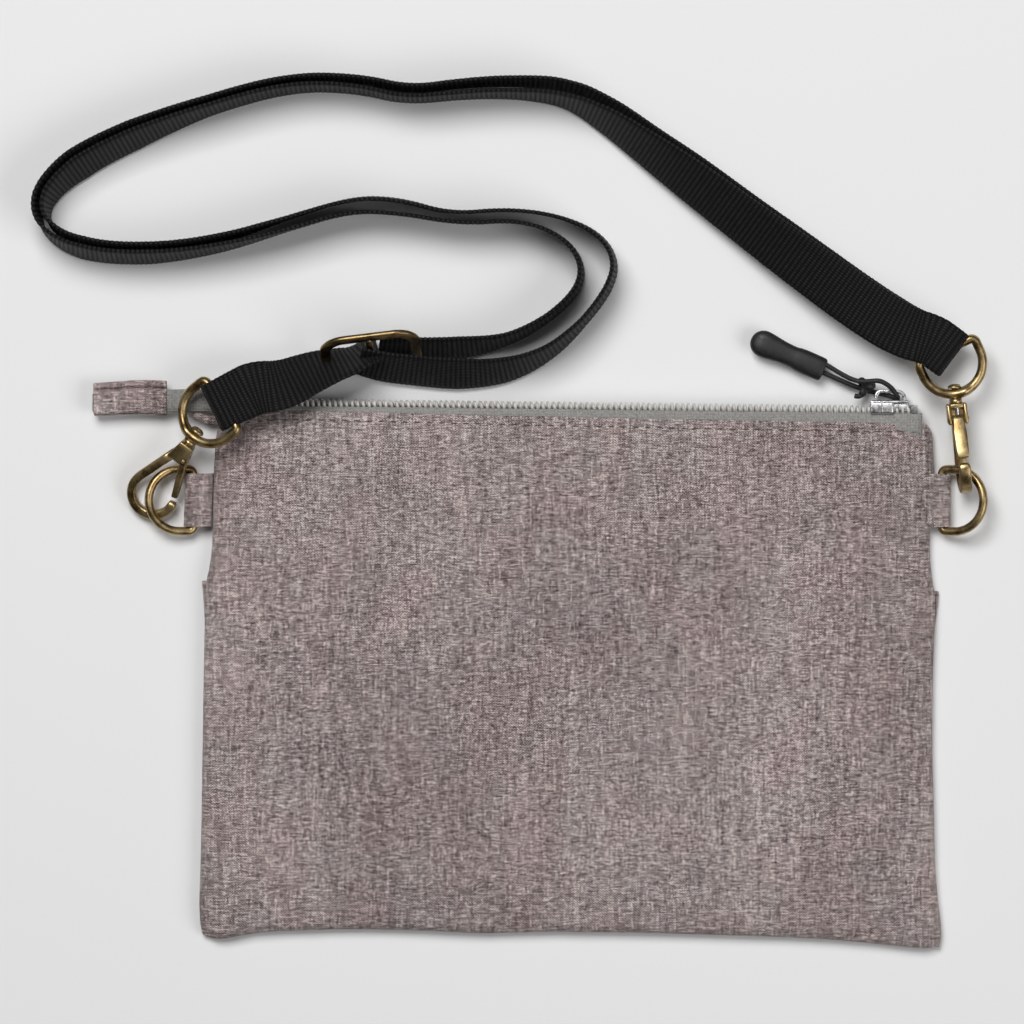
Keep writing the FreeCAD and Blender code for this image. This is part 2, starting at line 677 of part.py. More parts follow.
def ribbon_edges(points, shift):
    """One side of a ribbon: straight runs joined by tangent arcs, shifted sideways from the centre line."""
    spots = [Vec(x, y, 0) for x, y in points]
    edges = []
    radii = []
    here = spots[0]
    for before, corner, after in zip(spots, spots[1:], spots[2:]):
        enter = (corner - before).normalize()
        leave = (after - corner).normalize()
        turn = enter.getAngle(leave)
        shorter = min((corner - before).Length, (after - corner).Length)
        radius = 0.45 * shorter / math.tan(turn / 2)
        radii.append(radius)
        bend = 1 if enter.cross(leave).z > 0 else -1
        first = corner - enter * (0.45 * shorter)
        last = corner + leave * (0.45 * shorter)
        left_in = Vec(-enter.y, enter.x, 0)
        left_out = Vec(-leave.y, leave.x, 0)
        centre = first + left_in * (bend * radius)
        middle = centre + (corner - centre).normalize() * (radius - bend * shift)
        edges.append(Part.LineSegment(here + left_in * shift, first + left_in * shift))
        edges.append(Part.Arc(first + left_in * shift, middle, last + left_out * shift))
        here = last
    side = Vec(-(spots[-1] - here).y, (spots[-1] - here).x, 0).normalize() * shift
    edges.append(Part.LineSegment(here + side, spots[-1] + side))
    return edges, radii


def make_strand(label, points, lift):
    """A long strand of webbing standing on edge."""
    thick = size("webbing")
    near, radii = ribbon_edges(points, -thick / 2)
    far, _ = ribbon_edges(points, thick / 2)
    centre, _ = ribbon_edges(points, 0.0)
    start = Part.LineSegment(far[0].StartPoint, near[0].StartPoint)
    end = Part.LineSegment(near[-1].EndPoint, far[-1].EndPoint)
    outline = Part.Wire(Part.__sortEdges__([e.toShape() for e in near + [end] + far + [start]]))
    strand = doc.addObject("Part::Feature", label)
    strand.Shape = Part.Face(outline).extrude(Vec(0, 0, size("webbing_width")))
    strand.Placement = FreeCAD.Placement(Vec(0, 0, lift), FreeCAD.Rotation())
    length = sum(e.length() for e in centre)
    expected = length * thick * size("webbing_width")
    print(label, "length", round(length, 1), "volume ratio", round(strand.Shape.Volume / expected, 4))
    print("  radii", [round(r, 1) for r in radii])


def make_strap():
    make_adjuster()
    make_strand("strap_strand_outer", OUTER_STRAND, size("strand_lift"))
    make_strand("strap_strand_inner", INNER_STRAND, size("strand_lift"))


NODES = [
    "back_pocket_panel", "back_panel", "front_panel", "lining_back", "lining_front",
    "zipper_tape_front", "zipper_tape_back", "zipper_coil_front", "zipper_coil_back",
    "zipper_top_stops", "zipper_bottom_stop", "zipper_tail_tab",
    "zipper_slider", "puller_cord", "puller_grip", "strap_adjuster", "strap_strand_outer", "strap_strand_inner",
]
SIDED_NODES = [
    "loop_tab", "tab_ring", "hook", "gate", "gate_pin", "gate_spring", "swivel_rivet", "strap_ring", "strap_end",
]


def export_parts():
    """Check every object, then write one STEP file for each node."""
    doc.recompute()
    for thing in doc.Objects:
        if "Invalid" in thing.State or "Error" in thing.State:
            raise SystemExit(f"{thing.Label} failed: {thing.State}")
    os.makedirs("parts", exist_ok=True)
    names = NODES + [f"{name}_{side}" for name in SIDED_NODES for side in ("left", "right")]
    for name in names:
        shape = doc.getObject(name).Shape
        if shape.isNull() or not shape.isValid() or not shape.Solids:
            raise SystemExit(f"{name} has no valid solid")
        shape.exportStep(f"parts/{name}.step")
        box = shape.BoundBox
        print(f"{name:22s} {shape.Volume:9.1f} mm3  solids {len(shape.Solids)}  "
              f"x {box.XMin:.1f} {box.XMax:.1f}  y {box.YMin:.1f} {box.YMax:.1f}  z {box.ZMin:.1f} {box.ZMax:.1f}")


make_sewn_body()
make_zipper()
make_slider()
make_puller()
make_hardware()
make_strap()
export_parts()
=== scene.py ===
import math

import bmesh
import bpy
import numpy as np
from mathutils import Matrix, Vector
from mathutils.bvhtree import BVHTree


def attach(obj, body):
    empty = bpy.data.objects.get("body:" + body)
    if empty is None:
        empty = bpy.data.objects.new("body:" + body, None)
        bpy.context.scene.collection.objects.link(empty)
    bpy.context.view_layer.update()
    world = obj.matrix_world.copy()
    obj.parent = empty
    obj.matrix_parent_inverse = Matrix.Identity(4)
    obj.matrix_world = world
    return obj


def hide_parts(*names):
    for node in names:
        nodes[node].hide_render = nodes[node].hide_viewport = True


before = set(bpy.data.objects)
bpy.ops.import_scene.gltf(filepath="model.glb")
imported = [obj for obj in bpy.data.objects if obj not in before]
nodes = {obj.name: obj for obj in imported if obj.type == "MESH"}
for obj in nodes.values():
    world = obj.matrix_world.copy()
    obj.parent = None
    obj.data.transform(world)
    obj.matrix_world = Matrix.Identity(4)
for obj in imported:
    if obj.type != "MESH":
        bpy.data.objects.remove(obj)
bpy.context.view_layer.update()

# ---------------------------------------------------------------------------------------------------------
# The table, the light and the camera. The pouch lies on its back on a pale table under two large soft
# lamps and a sky that fades towards the horizon, and is looked at from straight above through a long lens.

scene = bpy.context.scene
scene.view_settings.view_transform = "Standard"

table_mesh = bpy.data.meshes.new("table_top")
TABLE_HALF, TABLE_Z = 3, -0.0004
table_corners = [(x * TABLE_HALF, y * TABLE_HALF, TABLE_Z) for x, y in ((-1, -1), (1, -1), (1, 1), (-1, 1))]
table_mesh.from_pydata(table_corners, [], [(0, 1, 2, 3)])
table_top = bpy.data.objects.new("table_top", table_mesh)
scene.collection.objects.link(table_top)
table_paint = bpy.data.materials.new("table_paint")
table_paint.use_nodes = True
table_paint.node_tree.nodes["Principled BSDF"].inputs["Base Color"].default_value = (0.9, 0.9, 0.9, 1)
table_paint.node_tree.nodes["Principled BSDF"].inputs["Roughness"].default_value = 0.9
table_mesh.materials.append(table_paint)


def soft_lamp(name, place, aim, wide, watts):
    """A large square lamp at place, shining at aim."""
    lamp = bpy.data.lights.new(name, "AREA")
    lamp.size = wide
    lamp.energy = watts
    holder = bpy.data.objects.new(name, lamp)
    holder.location = place
    holder.rotation_euler = (Vector(aim) - Vector(place)).to_track_quat("-Z", "Y").to_euler()
    scene.collection.objects.link(holder)


soft_lamp("lamp_overhead", (-0.35, 0.75, 1.5), (0, 0.03, 0), 0.8, 21.0)
soft_lamp("lamp_side", (0.95, -0.35, 1.1), (0, 0.03, 0), 0.9, 7.0)
studio = bpy.data.worlds.new("studio")
studio.use_nodes = True
sky = studio.node_tree.nodes.new("ShaderNodeSeparateXYZ")
fade = studio.node_tree.nodes.new("ShaderNodeMapRange")
for low_high, value in zip(("From Min", "From Max", "To Min", "To Max"), (-0.1, 0.75, 0.22, 1.45)):
    fade.inputs[low_high].default_value = value
upward = studio.node_tree.nodes.new("ShaderNodeTexCoord").outputs["Generated"]
studio.node_tree.links.new(upward, sky.inputs[0])
studio.node_tree.links.new(sky.outputs[2], fade.inputs[0])
studio.node_tree.links.new(fade.outputs[0], studio.node_tree.nodes["Background"].inputs["Strength"])
scene.world = studio

lens = bpy.data.cameras.new("camera")
lens.lens = 202.5
lens.sensor_width = 36.0
lens.clip_start = 0.01
camera = bpy.data.objects.new("camera", lens)
camera.location = (-0.0161, 0.0444, 1.6)
scene.collection.objects.link(camera)
scene.camera = camera

# ---------------------------------------------------------------------------------------------------------
# The shoulder strap: one length of black ribbed polyester webbing, 15 mm wide and 1.2 mm thick. It is sewn
# to the slide's middle bar, runs out to the right ring, folds over its bar and comes back to the slide.
# Its two long strands stand on edge side by side, and turn flat on each other towards the right ring.

WEBBING_WIDTH = 0.015
WEBBING_THICK = 0.0012
RIB_PITCH = 0.00136

# Where each strand runs: x, y and z of the route's points, and how far its top edge leans over to the left
# of the way it runs, in degrees from standing upright.
OUTER_RUN = [
    (-0.0585, 0.0862, 0.0086, 27), (-0.0530, 0.0846, 0.0084, 30), (-0.0440, 0.0836, 0.0076, 31),
    (-0.0310, 0.0824, 0.0073, 32), (-0.0180, 0.0832, 0.0073, 25), (-0.0060, 0.0880, 0.0076, 13),
    (0.0038, 0.0968, 0.0078, 6), (0.0112, 0.1068, 0.0078, 6), (0.0126, 0.1145, 0.0078, 5),
    (0.0076, 0.1218, 0.0078, 4), (-0.0040, 0.1266, 0.0078, 3), (-0.0180, 0.1282, 0.0078, 3),
    (-0.0330, 0.1268, 0.0078, 3), (-0.0470, 0.1308, 0.0078, 4), (-0.0600, 0.1313, 0.0078, 4),
    (-0.0780, 0.1258, 0.0078, 2), (-0.0970, 0.1196, 0.0078, -5), (-0.1170, 0.1166, 0.0077, -10),
    (-0.1352, 0.1180, 0.0077, -11), (-0.1448, 0.1240, 0.0078, -3), (-0.1450, 0.1315, 0.0078, 12),
    (-0.1362, 0.1398, 0.0073, 21), (-0.1210, 0.1476, 0.0073, 18), (-0.1000, 0.1560, 0.0078, 7),
    (-0.0770, 0.1622, 0.0078, 5), (-0.0590, 0.1616, 0.0078, 4), (-0.0455, 0.1582, 0.0078, 3),
    (-0.0300, 0.1598, 0.0078, 3), (-0.0150, 0.1602, 0.0079, 5), (-0.0010, 0.1586, 0.0080, 10),
    (0.0104, 0.1526, 0.0082, 24), (0.0208, 0.1452, 0.0084, 34), (0.0326, 0.1366, 0.0088, 45),
    (0.0482, 0.1248, 0.0092, 54), (0.0642, 0.1130, 0.0098, 66), (0.0804, 0.1012, 0.0106, 77),
    (0.0924, 0.0938, 0.0115, 84),
]
INNER_RUN = [
    (-0.0530, 0.0888, 0.0090, 26), (-0.0440, 0.0890, 0.0080, 25), (-0.0300, 0.0896, 0.0077, 21),
    (-0.0172, 0.0918, 0.0078, 9), (-0.0060, 0.0978, 0.0078, 5), (0.0024, 0.1058, 0.0078, 5),
    (0.0034, 0.1134, 0.0078, 4), (-0.0022, 0.1208, 0.0078, 3), (-0.0140, 0.1252, 0.0078, 3),
    (-0.0300, 0.1240, 0.0078, 3), (-0.0470, 0.1270, 0.0078, 3), (-0.0610, 0.1276, 0.0078, 3),
    (-0.0790, 0.1222, 0.0078, 2), (-0.0970, 0.1172, 0.0078, -5), (-0.1170, 0.1144, 0.0077, -10),
    (-0.1362, 0.1158, 0.0077, -11), (-0.1469, 0.1225, 0.0078, -3), (-0.1475, 0.1318, 0.0078, 12),
    (-0.1382, 0.1414, 0.0073, 21), (-0.1222, 0.1496, 0.0073, 18), (-0.1002, 0.1581, 0.0078, 7),
    (-0.0770, 0.1644, 0.0078, 5), (-0.0580, 0.1641, 0.0078, 4), (-0.0440, 0.1610, 0.0078, 3),
    (-0.0300, 0.1630, 0.0078, 3), (-0.0150, 0.1637, 0.0079, 5), (0.0000, 0.1624, 0.0079, 10),
    (0.0122, 0.1546, 0.0077, 24), (0.0220, 0.1464, 0.0076, 34), (0.0334, 0.1378, 0.0077, 45),
    (0.0489, 0.1256, 0.0080, 54), (0.0648, 0.1136, 0.0085, 66), (0.0808, 0.1016, 0.0093, 77),
    (0.0926, 0.0941, 0.0101, 84),
]


def run_of(name, rows):
    """Points read from the smooth route through rows, and the lean at each."""
    curve = bpy.data.curves.new(name, "CURVE")
    curve.dimensions = "3D"
    curve.resolution_u = 48
    spline = curve.splines.new("NURBS")
    spline.points.add(len(rows) - 1)
    for point, row in zip(spline.points, rows):
        point.co = (row[0], row[1], row[2], 1)
    spline.order_u = 3
    spline.use_endpoint_u = True
    holder = bpy.data.objects.new(name, curve)
    scene.collection.objects.link(holder)
    bpy.context.view_layer.update()
    line = bpy.data.meshes.new_from_object(holder.evaluated_get(bpy.context.evaluated_depsgraph_get()))
    points = np.array([v.co[:] for v in line.vertices])
    bpy.data.objects.remove(holder)
    bpy.data.meshes.remove(line)
    spans = len(rows) - 2
    stations = [0.0] + [i - 0.5 for i in range(1, len(rows) - 1)] + [float(spans)]
    leans = np.interp(np.linspace(0, spans, len(points)), stations, [row[3] for row in rows])
    return points, leans


def evenly(points, leans, step):
    """The same route with its points a fixed step apart."""
    gaps = np.linalg.norm(np.diff(points, axis=0), axis=1)
    along = np.concatenate([[0.0], np.cumsum(gaps)])
    count = max(8, int(round(along[-1] / step)))
    at = np.linspace(0, along[-1], count + 1)
    spaced = np.stack([np.interp(at, along, points[:, k]) for k in range(3)], axis=1)
    return spaced, np.interp(at, along, leans), at


def mesh_piece(name, verts, faces, material, smooth=True, uvs=None):
    """A closed mesh object with its faces pointing outwards."""
    mesh = bpy.data.meshes.new(name)
    mesh.from_pydata([tuple(v) for v in verts], [], faces)
    if uvs is not None:
        layer = mesh.uv_layers.new(name="UVMap")
        loops = np.zeros(len(mesh.loops), dtype=np.int64)
        mesh.loops.foreach_get("vertex_index", loops)
        layer.data.foreach_set("uv", np.asarray(uvs)[loops].ravel())
    work = bmesh.new()
    work.from_mesh(mesh)
    bmesh.ops.recalc_face_normals(work, faces=work.faces)
    work.to_mesh(mesh)
    work.free()
    mesh.polygons.foreach_set("use_smooth", [smooth] * len(mesh.polygons))
    mesh.materials.append(material)
    piece = bpy.data.objects.new(name, mesh)
    scene.collection.objects.link(piece)
    return piece


def tube_faces(rings, around, closed=False):
    """Quads between neighbouring rings of points, and end caps unless the tube closes on itself."""
    faces = []
    for i in range(rings if closed else rings - 1):
        a, b = i * around, ((i + 1) % rings) * around
        for k in range(around):
            n = (k + 1) % around
            faces.append((a + k, a + n, b + n, b + k))
    if not closed:
        faces.append(tuple(range(around)))
        faces.append(tuple(range((rings - 1) * around, rings * around)))
    return faces


def webbing(name, points, leans, material, squeeze=None):
    """A length of ribbed webbing along points. Each rib swells the faces and the edges a little."""
    spine, lean, along = evenly(points, leans, RIB_PITCH / 6)
    tangent = np.gradient(spine, axis=0)
    tangent /= np.linalg.norm(tangent, axis=1)[:, None]
    left = np.stack([-tangent[:, 1], tangent[:, 0], np.zeros(len(spine))], axis=1)
    flat = np.linalg.norm(left, axis=1)
    left[0] /= flat[0]
    for i in range(1, len(left)):
        if flat[i] < 0.35:
            left[i] = left[i - 1] * 1.0
        else:
            left[i] /= flat[i] * (1 if left[i].dot(left[i - 1]) > 0 else -1)
    lean = np.radians(lean)[:, None]
    across = np.cos(lean) * np.array([0, 0, 1.0]) + np.sin(lean) * left
    across -= (across * tangent).sum(axis=1)[:, None] * tangent
    across /= np.linalg.norm(across, axis=1)[:, None]
    face = np.cross(tangent, across)
    half, thick = WEBBING_WIDTH / 2, WEBBING_THICK / 2
    columns = np.linspace(-0.93, 0.93, 9)
    section = [(c, 1.0) for c in columns] + [(0.985, 0.62), (1.0, 0.0), (0.985, -0.62)]
    section += [(c, -1.0) for c in columns[::-1]] + [(-0.985, -0.62), (-1.0, 0.0), (-0.985, 0.62)]
    section = np.array(section)
    rib = np.abs(np.sin(np.pi * along / RIB_PITCH)) ** 0.75
    narrow = np.ones(len(spine)) if squeeze is None else squeeze(along)
    wide = half * narrow * (0.985 + 0.018 * rib)
    deep = thick * (0.74 + 0.26 * rib)
    verts = (spine[:, None, :]
             + (wide[:, None] * section[None, :, 0])[:, :, None] * across[:, None, :]
             + (deep[:, None] * section[None, :, 1])[:, :, None] * face[:, None, :])
    uvs = np.stack([np.repeat(along[:, None], len(section), axis=1),
                    np.repeat((section[:, 0] * half)[None, :], len(spine), axis=0)], axis=2)
    piece = mesh_piece(name, verts.reshape(-1, 3), tube_faces(len(spine), len(section)), material,
                       uvs=uvs.reshape(-1, 2))
    return piece, spine[::6], float(along[-1])


def new_finish(name):
    """A material, its node tree and its shader."""
    finish = bpy.data.materials.new(name)
    finish.use_nodes = True
    return finish, finish.node_tree, finish.node_tree.nodes["Principled BSDF"]


def wire(tree, kind, sockets=None, **settings):
    """Add a node, set its properties, and fill or link its inputs by name or number."""
    made = tree.nodes.new(kind)
    for key, value in settings.items():
        setattr(made, key, value)
    for key, value in (sockets or {}).items():
        if isinstance(value, bpy.types.NodeSocket):
            tree.links.new(value, made.inputs[key])
        else:
            made.inputs[key].default_value = value
    return made


def maths(tree, operation, *values):
    """The result of one Math node."""
    return wire(tree, "ShaderNodeMath", dict(enumerate(values)), operation=operation).outputs[0]


def ramp(tree, value, stops):
    """A colour ramp over value: stops of (position, grey or colour)."""
    made = wire(tree, "ShaderNodeValToRGB", {0: value})
    band = made.color_ramp
    while len(band.elements) < len(stops):
        band.elements.new(0.5)
    for element, (position, colour) in zip(band.elements, stops):
        element.position = position
        element.color = (colour, colour, colour, 1) if isinstance(colour, (int, float)) else (*colour, 1)
    return made.outputs[0]


def mixed(tree, share, low, high, blend="MIX"):
    """Mix two colours by share."""
    made = wire(tree, "ShaderNodeMix", {0: share, 6: low, 7: high}, data_type="RGBA", blend_type=blend)
    return made.outputs[2]


webbing_finish, tree, shader = new_finish("black_webbing")
across_along = wire(tree, "ShaderNodeSeparateXYZ", {0: wire(tree, "ShaderNodeTexCoord").outputs["UV"]})
rib_wave = maths(tree, "ABSOLUTE", maths(tree, "SINE", maths(
    tree, "MULTIPLY", across_along.outputs[0], math.pi / RIB_PITCH)))
pick_wave = maths(tree, "ABSOLUTE", maths(tree, "SINE", maths(
    tree, "MULTIPLY", across_along.outputs[1], math.pi / 0.00078)))
thread = maths(tree, "MULTIPLY", rib_wave, maths(tree, "ADD", maths(tree, "MULTIPLY", pick_wave, 0.65), 0.35))
fuzz = wire(tree, "ShaderNodeTexNoise", {"Vector": wire(tree, "ShaderNodeTexCoord").outputs["Object"],
                                         "Scale": 2600.0, "Detail": 3.0}).outputs[0]
glint = maths(tree, "MULTIPLY", thread, maths(tree, "ADD", fuzz, 0.35))
tree.links.new(ramp(tree, glint, [(0.12, (0.0016, 0.0016, 0.0018)), (0.62, (0.0065, 0.0065, 0.0066)),
                                  (0.95, (0.024, 0.0235, 0.023))]), shader.inputs["Base Color"])
tree.links.new(ramp(tree, thread, [(0.2, 0.78), (0.9, 0.5)]), shader.inputs["Roughness"])
weave_bump = wire(tree, "ShaderNodeBump", {"Strength": 0.7, "Distance": 0.0003, "Height": glint})
tree.links.new(weave_bump.outputs[0], shader.inputs["Normal"])
shader.inputs["Specular IOR Level"].default_value = 0.2
shader.inputs["Sheen Weight"].default_value = 0.03
shader.inputs["Sheen Roughness"].default_value = 0.45

# The fold over the right ring's bar: each strand comes in above or below the bar and meets the other at
# the outside of the fold.
RIGHT_BAR = Vector((0.10359, 0.08904, 0.01067))
STRAP_IN = Vector((0.802, -0.598, 0))


def fold_rows(side):
    """Route points from the flat strap round the right ring's bar, above it for side 1, below for -1."""
    rows = []
    for along, away in ((-0.0048, 0.0020), (0.0, 0.0026), (0.0024, 0.0019), (0.0025, 0.00002)):
        spot = RIGHT_BAR + STRAP_IN * along
        rows.append((spot.x, spot.y, spot.z + side * away, 90))
    return rows


def ring_squeeze(along):
    """The webbing draws in a little where it lies in the ring."""
    return 1 - 0.07 * np.clip((along - along[-1] + 0.022) / 0.016, 0, 1)


for name, rows, side, stands_for in (
        ("strap_strand_long", OUTER_RUN, 1, ("strap_strand_outer", "strap_end_right")),
        ("strap_strand_return", INNER_RUN, -1, ("strap_strand_inner",))):
    points, leans = run_of(name, rows + fold_rows(side))
    strand, path, length = webbing(name, points, leans, webbing_finish, ring_squeeze)
    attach(strand, "root")
    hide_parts(*stands_for)

# ---------------------------------------------------------------------------------------------------------
# The strap's short end: the same webbing, folded over the left ring's bar with its tail sewn down underneath.
# It runs over the slide's near end and dives behind the middle bar, to become the strand that lies behind.

LEFT_BAR = Vector((-0.09615, 0.07411, 0.01322))
SHORT_WAY = Vector((math.cos(math.radians(26)), math.sin(math.radians(26)), 0))


def beside_left_bar(along, rise, lean=90):
    """A route point a little way from the left ring's bar, along the short end."""
    spot = LEFT_BAR + SHORT_WAY * along
    return (spot.x, spot.y, spot.z + rise, lean)


SHORT_RUN = [
    beside_left_bar(0.0100, -0.0019, 86), beside_left_bar(0.0045, -0.0021),
    beside_left_bar(0.0, -0.0026), beside_left_bar(-0.0026, -0.0016), beside_left_bar(-0.0026, 0.0016),
    beside_left_bar(0.0, 0.0026), beside_left_bar(0.0050, 0.0017, 86), beside_left_bar(0.0105, 0.0004, 80),
    (-0.0798, 0.0792, 0.0124, 68), (-0.0715, 0.0829, 0.0112, 52), (-0.0645, 0.0852, 0.0106, 38),
    (-0.0595, 0.0866, 0.0096, 30), (-0.0562, 0.0886, 0.0090, 27), (-0.0530, 0.0892, 0.0088, 26),
]


def left_ring_squeeze(along):
    """The webbing draws in a little where it lies in the ring."""
    return 1 - 0.08 * np.clip(1 - (np.abs(along - 0.0135) - 0.004) / 0.010, 0, 1)


points, leans = run_of("strap_short_end", SHORT_RUN)
short_end, path, length = webbing("strap_short_end", points, leans, webbing_finish, left_ring_squeeze)
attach(short_end, "root")
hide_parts("strap_end_left")

# ---------------------------------------------------------------------------------------------------------
# The slide: a flat frame of antique brass, 27 by 20 mm, with a round middle bar that the strap is sewn to.
# It leans with the webbing that stands on edge in it.


def brass_finish(name, dark, worn):
    """Antique brass: a brown patina, rubbed through to brighter metal on its high places."""
    finish, tree, shader = new_finish(name)
    place = wire(tree, "ShaderNodeTexCoord").outputs["Object"]
    cloud = wire(tree, "ShaderNodeTexNoise", {"Vector": place, "Scale": 260.0, "Detail": 4.0}).outputs[0]
    grain = wire(tree, "ShaderNodeTexNoise", {"Vector": place, "Scale": 1900.0, "Detail": 3.0}).outputs[0]
    rubbed = wire(tree, "ShaderNodeNewGeometry").outputs["Pointiness"]
    wear = maths(tree, "ADD", maths(tree, "MULTIPLY", maths(tree, "SUBTRACT", rubbed, 0.5), 3.2),
                 maths(tree, "ADD", maths(tree, "MULTIPLY", cloud, 0.75),
                       maths(tree, "MULTIPLY", grain, 0.25)))
    tone = ramp(tree, wear, [(0.28, tuple(c * 0.45 for c in dark)), (0.47, dark), (0.66, worn)])
    tree.links.new(tone, shader.inputs["Base Color"])
    tree.links.new(ramp(tree, maths(tree, "ADD", cloud, maths(tree, "MULTIPLY", grain, 0.3)),
                        [(0.35, 0.24), (0.9, 0.46)]), shader.inputs["Roughness"])
    skin = wire(tree, "ShaderNodeBump", {"Strength": 0.18, "Distance": 0.0001, "Height": grain})
    tree.links.new(skin.outputs[0], shader.inputs["Normal"])
    shader.inputs["Metallic"].default_value = 1.0
    return finish


brass = brass_finish("antique_brass", (0.20, 0.128, 0.052), (0.46, 0.345, 0.175))


def place_of(origin, forward, toward):
    """A piece's own frame: x along forward, y as near toward as is square to it."""
    x = Vector(forward).normalized()
    y = Vector(toward)
    y = (y - x * y.dot(x)).normalized()
    z = x.cross(y)
    spot = Matrix((x, y, z)).transposed().to_4x4()
    spot.translation = Vector(origin)
    return spot


def arc(centre, radius, start, end, steps):
    """Points in mm along an arc in the flat, from start to end in degrees."""
    return [(centre[0] + radius * math.cos(math.radians(start + (end - start) * i / steps)),
             centre[1] + radius * math.sin(math.radians(start + (end - start) * i / steps)))
            for i in range(steps + 1)]


def round_section(radius, count=20):
    """A round section in mm."""
    return [(radius * math.cos(2 * math.pi * k / count), radius * math.sin(2 * math.pi * k / count))
            for k in range(count)]


def bar_section(wide, high, corner, steps=3):
    """A rounded rectangle, wide across the bar and high out of its plane, in mm."""
    spots = []
    for sx, sy, turn in ((1, 1, 0), (-1, 1, 90), (-1, -1, 180), (1, -1, 270)):
        spots += arc((sx * (wide / 2 - corner), sy * (high / 2 - corner)), corner, turn, turn + 90, steps)
    return spots


def bent_bar(path, section, spot, closed=False, swell=None, lift=None):
    """Vertices in metres and faces of a bar with its middle on a flat path, both given in mm."""
    spine = np.array(path)
    after = np.roll(spine, -1, axis=0) - spine
    before = spine - np.roll(spine, 1, axis=0)
    if not closed:
        after[-1], before[0] = before[-1], after[0]
    way = after / np.linalg.norm(after, axis=1)[:, None] + before / np.linalg.norm(before, axis=1)[:, None]
    way /= np.linalg.norm(way, axis=1)[:, None]
    verts = []
    for i, (point, along) in enumerate(zip(spine, way)):
        size = (1.0, 1.0) if swell is None else swell[i]
        rise = 0 if lift is None else lift[i]
        for a, b in section:
            flat = point + a * size[0] * np.array([along[1], -along[0]])
            verts.append(spot @ Vector((flat[0] * 0.001, flat[1] * 0.001, (b * size[1] + rise) * 0.001)))
    return verts, tube_faces(len(spine), len(section), closed)


def gathered(parts):
    """Several closed shapes as one list of vertices and faces."""
    verts, faces = [], []
    for some, theirs in parts:
        faces += [tuple(k + len(verts) for k in face) for face in theirs]
        verts += list(some)
    return verts, faces


def rounded_frame(long, wide, corner):
    """The middle line of a rounded rectangle."""
    spots = []
    for sx, sy, turn in ((1, 1, 0), (-1, 1, 90), (-1, -1, 180), (1, -1, 270)):
        spots += arc((sx * (long / 2 - corner), sy * (wide / 2 - corner)), corner, turn, turn + 90, 10)
    return spots


lean = math.radians(64)
slide_spot = place_of((-0.0550, 0.0885, 0.01009), (math.cos(math.radians(7)), math.sin(math.radians(7)), 0),
                      (0, math.cos(lean), math.sin(lean)))
rail = bent_bar(rounded_frame(25.0, 18.0, 5.6), bar_section(3.0, 1.5, 0.6), slide_spot, closed=True)
middle_bar = bent_bar([(-0.2, -8.4), (-0.2, -4), (-0.2, 4), (-0.2, 8.4)], round_section(0.95, 14), slide_spot)
# the slide's brass is a darker copy of the antique brass: painted shade on the slide, which stands steeply on
# edge
slide_shaded_brass = brass_finish("shaded_brass", (0.085, 0.055, 0.024), (0.30, 0.21, 0.10))
slide = mesh_piece("strap_slide", *gathered([rail, middle_bar]), slide_shaded_brass)
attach(slide, "root")
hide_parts("strap_adjuster")

# ---------------------------------------------------------------------------------------------------------
# The pouch's front and back: two panels of heathered plain-weave polyester, sewn face to face and turned,
# so the side and bottom seams are soft rolls. The front's top edge is turned in over the zipper's tape.

LEFT_EDGE = [(-101.9, -72.8), (-102.8, -70.0), (-103.1, -63.5), (-102.7, -55), (-102.4, -40), (-102.1, -20),
             (-101.8, 0), (-101.5, 15), (-101.3, 23), (-100.9, 27), (-99.6, 30), (-99.3, 36), (-99.3, 50),
             (-98.7, 62), (-98.2, 66.5), (-97.6, 68.6)]
RIGHT_EDGE = [(102.3, -76.2), (103.2, -73.5), (102.9, -68), (102.0, -62), (101.4, -54), (101.0, -35),
              (100.6, -20), (100.8, 0), (101.3, 12), (101.6, 20), (101.2, 23), (100.4, 26), (99.8, 34),
              (100.2, 42), (101.0, 56), (100.9, 64), (100.4, 67.4), (98.9, 69.0)]
BOTTOM_EDGE = [(-101.9, -72.8), (-99.0, -74.2), (-95.5, -74.3), (-92.0, -73.5), (-88.5, -72.4), (-77, -71.9),
               (-59, -71.4), (-41, -71.9), (-24, -72.7), (-6, -72.2), (20, -72.5), (47, -73.3), (65, -73.9),
               (82.8, -75.2), (92, -76.4), (98, -77.0), (102.3, -76.2)]
TOP_EDGE = [(-97.6, 68.6), (-94.5, 70.6), (-88, 72.0), (-78, 72.6), (-60, 72.3), (-47, 71.9), (0, 70.8),
            (40, 70.0), (78, 69.4), (92, 69.2), (98.9, 69.0)]


def edge_at(points, share, smooth=True):
    """Points at shares of the way along an edge of the panel, in mm."""
    line = np.array(points, dtype=float)
    gaps = np.linalg.norm(np.diff(line, axis=0), axis=1)
    along = np.concatenate([[0], np.cumsum(gaps)])
    fine = np.linspace(0, along[-1], 600)
    path = np.stack([np.interp(fine, along, line[:, k]) for k in range(2)], axis=1)
    if smooth:
        kernel = np.hanning(13)[1:-1]
        kernel /= kernel.sum()
        for k in range(2):
            padded = np.concatenate([[path[0, k] * 2 - path[i, k] for i in range(5, 0, -1)], path[:, k],
                                     [path[-1, k] * 2 - path[-1 - i, k] for i in range(1, 6)]])
            path[:, k] = np.convolve(padded, kernel, mode="valid")
    return np.stack([np.interp(share, fine / fine[-1], path[:, k]) for k in range(2)], axis=1)


